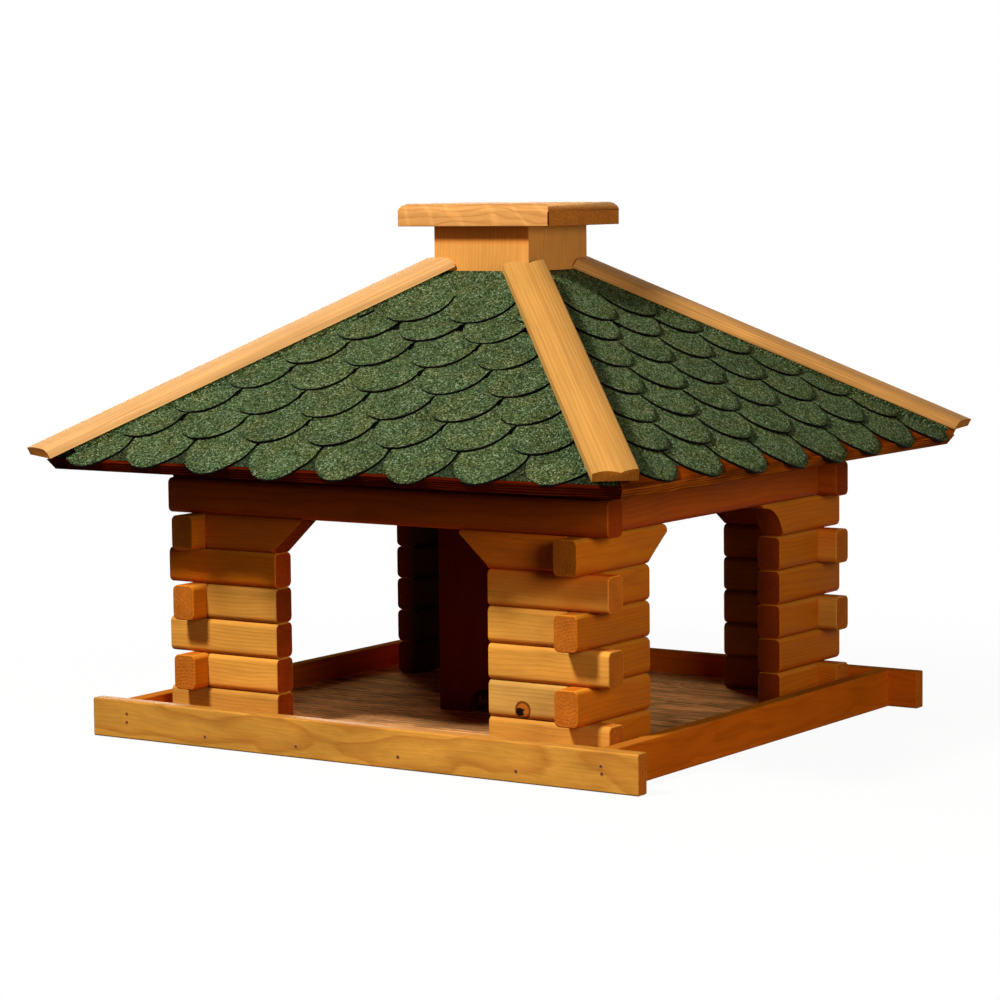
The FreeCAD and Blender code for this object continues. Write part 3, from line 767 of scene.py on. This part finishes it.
def grit(name, light=1.0):
    """Crushed slate in bitumen: grains a millimetre or two across, each its own colour."""
    material, tree, shader = blank_material(name)
    here = object_place(tree)
    grains = add(tree, "TexVoronoi", {"feature": "F1"}, Vector=here, Scale=GRAINS)
    each = add(tree, "SeparateColor", _0=grains.outputs["Color"])
    # Some of the slate is browner than the rest, and some of it is dusty.
    patches = noise(here, 38.0, 2.0).outputs["Fac"]
    brown = spread(patches, 0.45, 0.65, 0.0, 0.9)
    slate = tinted(stops(each.outputs[0], SLATE), brown, (1.2, 0.98, 0.85))
    weather = noise(here, 24.0, 4.0, 0.6).outputs["Fac"]
    lit = scaled(slate, spread(weather, 0.3, 0.7, 0.8 * light, 1.15 * light))
    stones = maths("MULTIPLY_ADD", grains.outputs["Distance"], -400.0, each.outputs[1])
    bump = add(tree, "Bump", Strength=0.7, Distance=0.0008, Height=stones)
    plug(shader, Base_Color=lit, Roughness=0.95, IOR=1.5, Specular_IOR_Level=0.05,
         Normal=bump.outputs[0])
    return material


GRIT = grit("slate-faced bitumen felt")
# The starter strip's grit is darker: painted shade in the notches between the lowest tabs.
STARTER_SHADE_PAINTED = grit("slate-faced bitumen felt, starter strip", light=0.4)
# The felt under the laths is lighter: painted light on its side in the laths' shade.
BED_LIGHT_PAINTED = grit("slate-faced bitumen felt, under the laths", light=1.4)
BITUMEN = speckled("cut edge of bitumen felt", 700.0, "#060504", "#15120e", Roughness=0.85,
                   Specular_IOR_Level=0.05)
print("grains", round(1000 / GRAINS, 1), "mm apart")

# %% [markdown]
# A course is drawn flat in the plane of the roof: across, up the slope and off the board.

# %% Courses of round tabs
LIP, TAB, SLIT, LAP, EXPOSURE = 0.008, 0.082, 0.0042, 0.003, 0.045
TIPS = [-LIP]
for exposure in [0.048] + 4 * [EXPOSURE] + [0.035]:
    TIPS.append(TIPS[-1] + exposure)
# Where a course ends below the second one above, its bend to the board, and a tab's curl.
BACK_LAP, BEND_BACK, BEND, CURL = 0.012, 0.005, 0.008, 0.030
# Columns and rows of the grid on a tab, and rows above its slits.
COLUMNS, ROWS, ABOVE = 18, 7, 5
# The lowest course was hung by eye: some tabs sit this far, in metres, above their line, and
# two that the hip would leave as slivers were never hung.
HUNG = {
    "front": {-3: 0.0025, -2: -0.002, -1: -0.0035, 0: -0.002, 1: 0.001, 2: 0.0035, 3: 0.0065},
    "right": {-3: 0.008, -2: 0.005, -1: 0.001, 0: -0.003, 1: -0.003, 2: -0.002, 3: 0.002},
}
SLIVERS = (("front", 4), ("right", -4))
# Sideways place of the lowest course, and how much further each course drifts.
SHIFT = {"front": (0.025, 0.0018), "right": (-0.018, -0.0015), "back": (0.012, -0.0012),
         "left": (-0.030, 0.0014)}


def smooth_step(value):
    """0 to 1 with a gentle start and stop."""
    value = min(max(value, 0.0), 1.0)
    return value * value * (3 - 2 * value)


def course_sheet(side, course, reach, top):
    """One course as a bmesh in the plane of the roof, at least reach to either side."""
    tip = TIPS[course]
    after = TIPS[course + 1] if course + 1 < len(TIPS) else tip + EXPOSURE
    second = TIPS[course + 2] if course + 2 < len(TIPS) else top
    slit_top = max(after + LAP, tip + TAB / 2)
    last = course == len(TIPS) - 1
    upper = top if last else min(second - BACK_LAP, top)
    middle = SHIFT[side][0] + course * SHIFT[side][1] - (TAB / 2 if course % 2 else 0)
    radius = (TAB - SLIT) / 2
    tabs = math.ceil((reach + TAB) / TAB)

    def height(up, curl, across):
        """The underside lies on the course below, then on the board.

        A curl is how much the tip lifts, how much it twists, and how far it hangs at the eave.
        """
        raised = max(0.0, 1 - (up - tip) / CURL)
        if course == 0:
            hangs = curl[2] * max(0.0, (0.004 - up) / 0.010) ** 1.5
            return raised * curl[1] * 1.6 * across / radius - hangs
        lie = FELT * (1.0 if last else 1 - smooth_step((up - after + BEND_BACK) / BEND))
        return lie + raised * raised * (curl[0] + curl[1] * across / radius)

    sheet = bmesh.new()
    edges_of_band = []
    for number in range(-tabs, tabs + 1):
        centre = middle + number * TAB
        if abs(centre) > reach + TAB or (course == 0 and (side, number) in SLIVERS):
            continue
        curl = (lots.uniform(0.0002, 0.0010),
                lots.uniform(0.0002, 0.0010) * (-1 if side == "right" else 1),
                lots.uniform(0.001, 0.0035))
        lean = lots.uniform(-0.0012, 0.0012)
        hung = HUNG.get(side, {}).get(number, 0) if course == 0 else 0
        uneven = lots.uniform(-0.001, 0.001) + hung
        grid = []
        for c in range(COLUMNS + 1):
            turn = math.pi * c / COLUMNS
            across = -radius * math.cos(turn)
            low = tip + radius - radius * math.sin(turn) + uneven + lots.uniform(-0.0004, 0.0004)
            line = []
            for r in range(ROWS + 1):
                share = r / ROWS
                up = low + (slit_top - low) * share
                x = centre + across + lean * (1 - share)
                line.append(sheet.verts.new((x, up, height(up, curl, across))))
            for r in range(1, ABOVE + 1):
                up = slit_top + (upper - slit_top) * r / ABOVE
                line.append(sheet.verts.new((centre + across, up, height(up, (0, 0, 0), 0))))
            grid.append(line)
        for before, behind in zip(grid, grid[1:]):
            for r in range(ROWS + ABOVE):
                sheet.faces.new((before[r], behind[r], behind[r + 1], before[r + 1]))
        edges_of_band.append((grid[0][ROWS:], grid[-1][ROWS:]))
    for (_, ends), (starts, _) in zip(edges_of_band, edges_of_band[1:]):
        for r in range(ABOVE):
            sheet.faces.new((ends[r], starts[r], starts[r + 1], ends[r + 1]))
    return sheet


print(len(TIPS), "courses of tabs", TAB * 1000, "mm apart")

# %% [markdown]
# The courses are then tilted on to their side of the roof, trimmed, and closed underneath.

# %% Shingles on the four sides
# Gaps at the hips and round the column, and how far a piece is drawn past a cut.
HIP_GAP, COLUMN_GAP, SPARE = 0.0004, 0.0005, 0.040
# A starter strip and black felt close the roof under the slits: where it starts and ends up
# the slope, and how far under the courses both lie. The black felt darkens the slits: painted
# shade.
STRIP_STARTS = {"right": 0.020}
STRIP_START, STRIP_END, STRIP_SINK = 0.004, 0.050, 0.0022


def keep(sheet, point, normal):
    """Cut the sheet on a plane and keep the part that the normal points away from."""
    everything = sheet.verts[:] + sheet.edges[:] + sheet.faces[:]
    return bmesh.ops.bisect_plane(sheet, geom=everything, plane_co=point, plane_no=normal,
                                  clear_outer=True)


def trim_and_merge(whole, sheet, hip, column):
    """Trim a sheet on the two hips and at the column, and add it to the rest."""
    keep(sheet, (hip - HIP_GAP, 0, 0), (1, 1, 0))
    keep(sheet, (HIP_GAP - hip, 0, 0), (-1, 1, 0))
    keep(sheet, (0, -column, 0), (0, 1, 0))
    part = as_mesh("part", sheet)
    whole.from_mesh(part)
    bpy.data.meshes.remove(part)


for side, (degrees, axis) in SIDES.items():
    along, across = (length / 2 + EAVE for length in side_lengths(axis))
    column = (COLUMN.y if axis == "x" else COLUMN.x) / 2 + COLUMN_GAP
    edge = (0, -across - BOARD * math.sin(PITCH), EAVE_BOTTOM + BOARD * math.cos(PITCH))
    tilt = Matrix.Translation(edge) @ Matrix.Rotation(PITCH, 4, "X")
    top = across / math.cos(PITCH)
    whole = bmesh.new()
    for course in range(len(TIPS)):
        sheet = course_sheet(side, course, along + SPARE, top)
        sheet.transform(tilt)
        trim_and_merge(whole, sheet, along - across, column)
    strip = bmesh.new()
    heights = (STRIP_STARTS.get(side, STRIP_START), STRIP_END, top)
    lines = [[strip.verts.new((x, up, -STRIP_SINK)) for x in (-along, along)] for up in heights]
    for felt, lower, higher in zip((2, 1), lines, lines[1:]):
        strip.faces.new((*lower, *higher[::-1])).material_index = felt
    strip.transform(tilt)
    trim_and_merge(whole, strip, along - across, column)
    whole.transform(Matrix.Rotation(math.radians(degrees), 4, "Z"))
    bmesh.ops.recalc_face_normals(whole, faces=whole.faces)
    for face in whole.faces:
        face.smooth = True
        if face.normal.z < 0:
            face.normal_flip()
    # The rim of the thickness takes the material after the face's own.
    mesh = as_mesh(f"slates_{side}", whole, GRIT, BITUMEN, STARTER_SHADE_PAINTED, BITUMEN)
    piece = show(f"round_shingles_{side}", mesh, "shingle_felt", f"shingles_{side}")
    thick = piece.modifiers.new("felt", "SOLIDIFY")
    thick.thickness = FELT
    thick.offset = 1
    thick.material_offset_rim = 1
    print(piece.name, len(mesh.polygons), "faces before thickness")

# %% [markdown]
# ## The hip laths
#
# Where two slopes meet, a length of lath covers the cut shingles. Two laths are moulded with a
# shallow round and a steeper one, and two have one side rounded over. Each was sawn by hand on
# its own slant and fitted round the column. The outline is lofted down the hip, and the ends
# are cut by planes.

# %% Lath sizes
HIP = Vector((COLUMN.x / 2, COLUMN.y / 2))
BUILD = (BOARD + 2 * FELT) / math.cos(PITCH)
HIP_Z = EAVE_BOTTOM + BUILD + (HOUSE.y / 2 + EAVE - HIP.y) * math.tan(PITCH)
HIP_PITCH = math.atan(math.tan(PITCH) / math.sqrt(2))
HIP_RUN = HOUSE.x / 2 + EAVE + BOARD * math.sin(PITCH) - HIP.x
HIP_LENGTH = HIP_RUN * math.sqrt(2) / math.cos(HIP_PITCH)
# Moulding with a valley: a broad round, and a high one with a small edge.
LATH, LATH_EDGE, VALLEY, BROAD, BROAD_ROUND = 0.045, 0.0085, 0.027, 0.011, 0.038
HIGH, HIGH_EDGE, HIGH_ROUND, ARRIS = 0.0124, 0.002, 0.0364, 0.0004
# Moulding rounded over on one side, above a small lip, under a wide crown.
LIP_UP, OVER, CROWN = 0.0015, 0.009, 0.160
# Each lath as nailed on: its roll and tilt in degrees, its shift sideways and its sink, how
# far its left and right edges run past the eave corner (foot) and the column's corner (head),
# the side rounded over (1 is left), and how thick its felt bed is and how far short it ends.
LATHS = {
    "front_right": {"roll": 0, "shift": -0.006, "foot": (-0.004, -0.004), "head": (-0.001, -0.001)},
    "front_left": {"roll": -11, "shift": 0, "foot": (-0.001, 0.015), "head": (0.018, 0),
                   "over": 1, "bed": 0.0062},
    "back_right": {"roll": 16, "shift": 0, "foot": (0.0193, -0.0088), "head": (0, 0.020),
                   "over": -1, "tilt": 0.8, "sink": 0.002, "bed": 0.0085, "short": 0.018},
    "back_left": {"roll": 0, "shift": 0.004, "foot": (-0.003, -0.003), "head": (-0.001, -0.001)},
}
BED_THICK, BED_SHORT, BED_START = 0.0038, 0.030, 0.002
# How much narrower a bed is than its lath, flat or rolled.
BED_IN, ROLLED_BED_IN = 0.006, 0.0012
# A corner of roof board shows under the foot of the tilted lath: back, aside and down.
CORNER_BACK, CORNER_ASIDE, CORNER_DOWN = 0.016, 0.001, 0.0065
CORNER_SIZE = (0.020, LATH - 0.006, 0.013)
print(f"hips {HIP_LENGTH * 1000:.0f} mm long at {math.degrees(HIP_PITCH):.1f} degrees")

# %% Lath woods
# Fine straight rings, as in a planed moulding. The left lath is thinly stained and greyer, the
# right one redder in patches, and the sawn ends are rough and orange.
STRAIGHT = {"ring": 0.0032, "wave": 0.0015}
LATH_PINE = stained_pine("satin-stained pine lath", "#c89148", "#a87030", ring_share=0.35,
                         streak=0.16, blotch=0.10, **STRAIGHT)
LATH_PALE = stained_pine("thinly stained pine lath", "#c4945c", "#a06c36", ring_share=0.4,
                         streak=0.22, blotch=0.16, sheen=0.6, **STRAIGHT)
LATH_WARM = stained_pine("satin-stained pine lath, warm", "#cb9452", "#96581f", ring_share=0.4,
                         streak=0.3, blotch=0.35, sheen=0.6, **STRAIGHT)
LATH_END = stained_pine("sawn end of a lath", "#cf7d2c", "#a8591a", **END_GRAIN)
LATH_WOOD = {"front_left": LATH_PALE, "back_right": LATH_WARM}
# The rough sawn edges of the roof boards, in the two colours of their rings on each side. The
# front ones are painted nearly black as shade, the back and left ones less dark, the right
# ones orange.
SAWN_LIT_AND_SHADED = {"front": ("#6e2206", "#330c02"), "right": ("#b05a16", "#6e3010"),
                "back": ("#8a3a10", "#2c1004"), "left": ("#8a3a10", "#2c1004")}
CORNER_WOOD = stained_pine("rough-sawn board corner, red-brown stain", *SAWN_LIT_AND_SHADED["right"],
                           ring=0.003, sheen=0.9, level=0.0)
# Painted light and shade on a lath, as (share, tone). On the near one the share is of the
# width, and the narrow rib is painted darker than the broad round. On the others it is of the
# height of the rounded side, which is painted lighter towards its foot.
LATH_LIGHT_PAINTED = {
    "front_right": [(0, 0.80), (0.12, 0.80), (0.2, 0.88), (0.35, 0.99), (0.5, 1.07), (0.57, 1.0),
                    (0.63, 0.72), (0.75, 0.70), (0.88, 0.61), (1, 0.52)],
    "front_left": [(0, 1.9), (0.14, 1.6), (0.28, 1.2), (0.42, 1.03), (0.6, 1.0), (1, 0.98)],
    "back_right": [(0, 1.25), (0.14, 1.22), (0.4, 1.16), (0.6, 1.08), (0.8, 1.0), (1, 1.05)],
}


def read_tone(marks, share):
    """The tone at a share, between the marks on either side of it."""
    for (before, low_tone), (behind, high_tone) in zip(marks, marks[1:]):
        if share <= behind:
            part = max(share - before, 0) / (behind - before)
            return low_tone + (high_tone - low_tone) * part
    return marks[-1][1]


def lath_light_painted(name, lath, verts):
    """The painted light and shade of each vertex of a lath, as a tone."""
    if "over" in lath:
        shares = [v.z / (LIP_UP + OVER) if v.y * lath["over"] > 0 else 1.0 for v in verts]
    else:
        shares = [(v.y - lath["shift"] + LATH / 2) / LATH for v in verts]
    return [read_tone(LATH_LIGHT_PAINTED[name], share) for share in shares]


print(len(LATH_LIGHT_PAINTED), "laths with a worn side")


# %% Mouldings
def arc(start, end, centre_up, steps):
    """Points from start to end on a circle whose centre lies at a height."""
    (y0, z0), (y1, z1) = start, end
    centre = (y1**2 - y0**2 + (z1 - centre_up)**2 - (z0 - centre_up)**2) / (2 * (y1 - y0))
    radius = math.hypot(y0 - centre, z0 - centre_up)
    first = math.atan2(z0 - centre_up, y0 - centre)
    last = math.atan2(z1 - centre_up, y1 - centre)
    turns = [first + (last - first) * step / steps for step in range(steps + 1)]
    return [(centre + radius * math.cos(turn), centre_up + radius * math.sin(turn))
            for turn in turns]


def lath_outline(lath, low, high):
    """Section of a lath from its right edge, low, to its left edge, high."""
    if "over" in lath:
        side, crest = LATH / 2, (LATH / 2 - OVER, LIP_UP + OVER)
        outline = [(-side, 0), (side, 0)] + arc((side, LIP_UP), crest, LIP_UP, 10)
        outline += arc(crest, (-side + ARRIS, LATH_EDGE), LIP_UP + OVER - CROWN, 10)[1:]
        outline += [(-side, LATH_EDGE - ARRIS)]
        return [(lath["shift"] + y * lath["over"], z) for y, z in outline]
    crest, valley = (high - HIGH_EDGE, HIGH), (low + VALLEY, LATH_EDGE)
    outline = [(low, 0), (high, 0)] + arc((high, HIGH - HIGH_EDGE), crest, HIGH - HIGH_EDGE, 5)
    outline += arc(crest, valley, HIGH - HIGH_ROUND, 10)[1:]
    outline += arc(valley, (low + ARRIS, LATH_EDGE), BROAD - BROAD_ROUND, 12)[1:]
    return outline + [(low, LATH_EDGE - ARRIS)]


def loft(outline, marks=13):
    """The outline drawn down the hip, past both of its ends."""
    bm = bmesh.new()
    rings = []
    for mark in range(marks):
        along = -SPARE + (HIP_LENGTH + 2 * SPARE) * mark / (marks - 1)
        rings.append([bm.verts.new((along, y, z)) for y, z in outline])
    for before, behind in zip(rings, rings[1:]):
        for i in range(len(outline)):
            j = (i + 1) % len(outline)
            bm.faces.new((before[i], before[j], behind[j], behind[i]))
    bm.faces.new(rings[0][::-1])
    bm.faces.new(rings[-1])
    bmesh.ops.recalc_face_normals(bm, faces=bm.faces)
    return bm


def saw(bm, left, right, way):
    """Saw an end off from its left edge to its right edge, and close it."""
    run = (right - left).normalized()
    cut = keep(bm, left, Vector((-run.y, run.x, 0)) * way)
    loop = [e for e in cut["geom_cut"] if isinstance(e, bmesh.types.BMEdge)]
    bmesh.ops.contextual_create(bm, geom=loop)


def block(middle, size, matrix=Matrix.Identity(4)):
    """A box by its middle and its size, moved by a matrix."""
    bm = bmesh.new()
    bmesh.ops.create_cube(bm, size=1.0)
    stretch = Matrix.Translation(middle) @ Matrix.Diagonal((*size, 1))
    bmesh.ops.transform(bm, verts=bm.verts, matrix=matrix @ stretch)
    return bm


def as_lists(bm):
    """The vertices and the faces of a bmesh."""
    bm.verts.index_update()
    return [v.co.copy() for v in bm.verts], [tuple(v.index for v in f.verts) for f in bm.faces]


print("outline of", len(lath_outline(LATHS["front_right"], 0, LATH)), "points")

# %% Laths on the four hips
for name, lath in LATHS.items():
    side_x, side_y = CORNERS[name]
    low, high = lath["shift"] - LATH / 2, lath["shift"] + LATH / 2
    bm = loft(lath_outline(lath, low, high))
    for (left, right), start, way in ((lath["foot"], HIP_LENGTH, 1), (lath["head"], 0.0, -1)):
        saw(bm, Vector((start + way * left, high, 0)), Vector((start + way * right, low, 0)), way)
    bmesh.ops.recalc_face_normals(bm, faces=bm.faces)
    verts, faces = as_lists(bm)
    ends = [abs(f.normal.x) > 0.5 for f in bm.faces]
    bm.free()
    dip = HIP_PITCH - math.radians(lath.get("tilt", 0))
    lie = Euler((math.radians(lath["roll"]), dip, math.atan2(side_y, side_x)))
    neck = (side_x * HIP.x, side_y * HIP.y, HIP_Z - lath.get("sink", 0))
    matrix = Matrix.Translation(neck) @ lie.to_matrix().to_4x4()
    store = empty_store()
    gather(store, (verts, faces, ends), matrix, place=cut_at(0.035, 0.008), tone=1.0)
    if name in LATH_LIGHT_PAINTED:
        store["tone"] = lath_light_painted(name, lath, verts)
    # A strip of felt beds each lath on the cut shingles.
    run, thick = HIP_LENGTH - lath.get("short", BED_SHORT), lath.get("bed", BED_THICK)
    width = LATH - (ROLLED_BED_IN if "over" in lath else BED_IN)
    bed = block((run / 2 + BED_START, lath["shift"], -thick / 2), (run, width, thick), matrix)
    felt = as_mesh(f"hip_felt_{name}", bed, GRIT if "tilt" in lath else BED_LIGHT_PAINTED)
    show(f"hip_felt_{name}", felt, "shingle_felt")
    if "tilt" in lath:
        middle = (HIP_LENGTH - CORNER_BACK, lath["shift"] + CORNER_ASIDE, -CORNER_DOWN)
        bm = block(middle, CORNER_SIZE)
        verts, faces = as_lists(bm)
        bm.free()
        corner = empty_store()
        sawn = [False] * len(faces)
        gather(corner, (verts, faces, sawn), matrix, place=Vector((0.4, 0.05, 0.02)), tone=0.9)
        make_piece(f"board_corner_{name}", corner, [CORNER_WOOD], "roof_board", sharp=30)
    woods = [LATH_WOOD.get(name, LATH_PINE), LATH_END]
    make_piece(f"cover_lath_{name}", store, woods, "lath_pine", f"hip_lath_{name}", sharp=35)
print(len(LATHS), "laths nailed on")

# %% [markdown]
# ## The cap
#
# A thick board that lifts off to fill the column. Its upper edges are rounded over by nearly
# ten millimetres. It is lighter than the rest and has a curly grain. One corner of its end is
# split and dark.

# %% Cap board
CAP_PINE = stained_pine("satin-stained pine with curly grain", "#c0884a", "#9c6228", wave=0.022,
                        ring=0.005, ring_share=0.45, streak=0.12, blotch=0.16, figure=0.17)
# The upper, rounded faces of the cap's ends are tinted paler: painted light.
CAP_END = stained_pine("sawn end of the cap", "#c77a30", "#9c561c", blotch=0.25, streak=0.35,
                       ring_share=0.4, sheen=0.65, facing=[("Z", 0.3, 0.8, (1.05, 1.6, 3.6))])
CAP_SPLIT = stained_pine("dark corner of the cap", "#4a200c", "#240c04", blotch=0.6, streak=0.5,
                         sheen=0.8)
# How far the edges are rounded over: the upper ones, the lower ones and the corners.
CAP_ROUND, CAP_LOWER, CAP_CORNER = 0.0095, 0.001, 0.0012
low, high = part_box("cap_board")
size = high - low


def round_over(bm, offset, segments, test):
    """Round the edges over whose two heights pass the test."""
    edges = [e for e in bm.edges if test(*(v.co.z for v in e.verts))]
    bmesh.ops.bevel(bm, geom=edges, offset=offset, segments=segments, profile=0.5, affect="EDGES")


bm = block((0, 0, size.z / 2), size)
round_over(bm, CAP_ROUND, 7, lambda one, other: min(one, other) > size.z * 0.9)
round_over(bm, CAP_LOWER, 2, lambda one, other: max(one, other) < size.z * 0.1)
round_over(bm, CAP_CORNER, 2, lambda one, other: abs(one - other) > size.z * 0.5)
bm.normal_update()
verts, faces = as_lists(bm)
ends = []
for face in bm.faces:
    at_end = face.calc_center_median().x > size.x / 2 - 0.002
    split = at_end and face.normal.x > 0.3 and face.normal.y < -0.3
    ends.append(2 if split else int(abs(face.normal.x) > 0.12))
bm.free()
store = empty_store()
middle = (low + high) / 2
gather(store, (verts, faces, ends), Matrix.Translation((middle.x, middle.y, low.z)),
       place=Vector((0.4, 0.05, -0.03)), tone=1.0, coats=(0, 1, 2))
make_piece("cap_lid", store, [CAP_PINE, CAP_END, CAP_SPLIT], "cap_pine", "cap_board", body="cap")
print("cap", [round(c * 1000) for c in size])

# %% [markdown]
# ## Boards that keep their CAD shape
#
# The floor, the roof boards, the plates under them, the column and the block under the cap
# are flat boards whose CAD shape is already right. They have no grain attribute, so their
# recipe turns the frame's own axes on to the grain instead. Only the front and back plates
# are drawn longer, because their ends show past the posts.

# %% Floor, roof boards, plates, column, block
# Wide wavy figure, pale orange and dark brown, under a thin matt stain.
FLOOR_PLY = stained_pine("thinly stained plywood", "#f4ae6c", "#6c3614", offset=(0.2, 0.06, -0.012),
                         turn=(0, 0, 0), wave=0.018, ring=0.010, ring_share=0.5, streak=0.9,
                         blotch=0.8, sheen=0.8, level=0.0)
# The column darkens under the roof, and a little under the cap on its front.
COLUMN_SHADE = [(0.48, 0.36, (0.17, 0.03, 0.01)), (0.517, 0.523, (0.85, 0.6, 0.45), "Y")]
# The column's faces turned along X are tinted lighter: painted light.
NECK = stained_pine("satin-stained pine on end", "#c98b42", "#a9692b", turn=(0, 90, 0),
                    offset=(0, 0.03, 0.05), blotch=0.17, shaded=COLUMN_SHADE,
                    facing=[("X", 0.4, 0.6, (1.24, 1.24, 1.3))])
PLATE_END = 0.0145


def stain(node, wood):
    """Gives a CAD node its wood, and gives back its mesh."""
    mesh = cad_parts[node].data
    mesh.materials.clear()
    mesh.materials.append(wood)
    return mesh


for side, (degrees, axis) in SIDES.items():
    # Rough from the saw, the boards drank the stain unevenly. Their upper faces, seen in the
    # slits of the shingles, are tinted nearly black: painted shade.
    sawn = stained_pine(f"rough-sawn stained board {side}", *SAWN_LIT_AND_SHADED[side],
                        turn=(0, 0, -degrees), offset=(0.3, 0.05, 0.04), ring=0.003, streak=0.5,
                        blotch=0.9, ring_share=0.7, sheen=0.8, relief=0.9, level=0.0,
                        facing=[("Z", 0.5, 0.8, (0.45, 0.35, 0.15))])
    stain(f"roof_board_{side}", sawn)
    stain(f"column_board_{side}", NECK)
    plate = stain(f"roof_plate_{side}", sawn)
    if axis == "x":
        # These plates run on over the stub ends of the tie logs.
        plate = plate.copy()
        for vertex in plate.vertices:
            vertex.co.x += math.copysign(PLATE_END, vertex.co.x)
        show(f"long_plate_{side}", plate, "plate_pine", f"roof_plate_{side}")
stain("floor_panel", FLOOR_PLY)
stain("cap_block", NECK)
print("boards stained")

# %% [markdown]
# ## Brads in the rim
#
# The front and back strips are held by brads driven flush: dark heads three millimetres
# across, in a ring of wood that the hammer and the rust have darkened.

# %% Brads
STEEL = speckled("dulled steel", 900.0, "#34180a", "#6a3216", Metallic=0.25, Roughness=0.7)
BRUISED = speckled("bruised pine round a brad", 600.0, "#a55f22", "#bd7c30", Roughness=0.6)
BRADS = [(-0.2935, 0.0270), (-0.2937, 0.0180), (-0.1881, 0.0116), (-0.0691, 0.0121),
         (0.0589, 0.0128), (0.2003, 0.0116), (0.2981, 0.0257), (0.2992, 0.0185)]
# Radius, depth and material of the ring and of the head, and the taper of both.
DISCS, TAPER = ((0.0026, 0.0003, 1), (0.0016, 0.0007, 0)), 0.85
rim_face = HOUSE.y / 2 + MARGIN
bm = bmesh.new()
for x, z in BRADS:
    for sign in (1, -1):
        turn = Matrix.Rotation(math.radians(90 * sign), 4, "X")
        matrix = Matrix.Translation((x, -sign * rim_face, z)) @ turn
        for radius, depth, material in DISCS:
            made = bmesh.ops.create_cone(bm, cap_ends=True, segments=18, radius1=radius,
                                         radius2=radius * TAPER, depth=depth, matrix=matrix)
            for face in {f for v in made["verts"] for f in v.link_faces}:
                face.material_index = material
show("rim_brads", as_mesh("brads", bm, STEEL, BRUISED), "rim_pine")
print(len(BRADS) * 2, "brads")
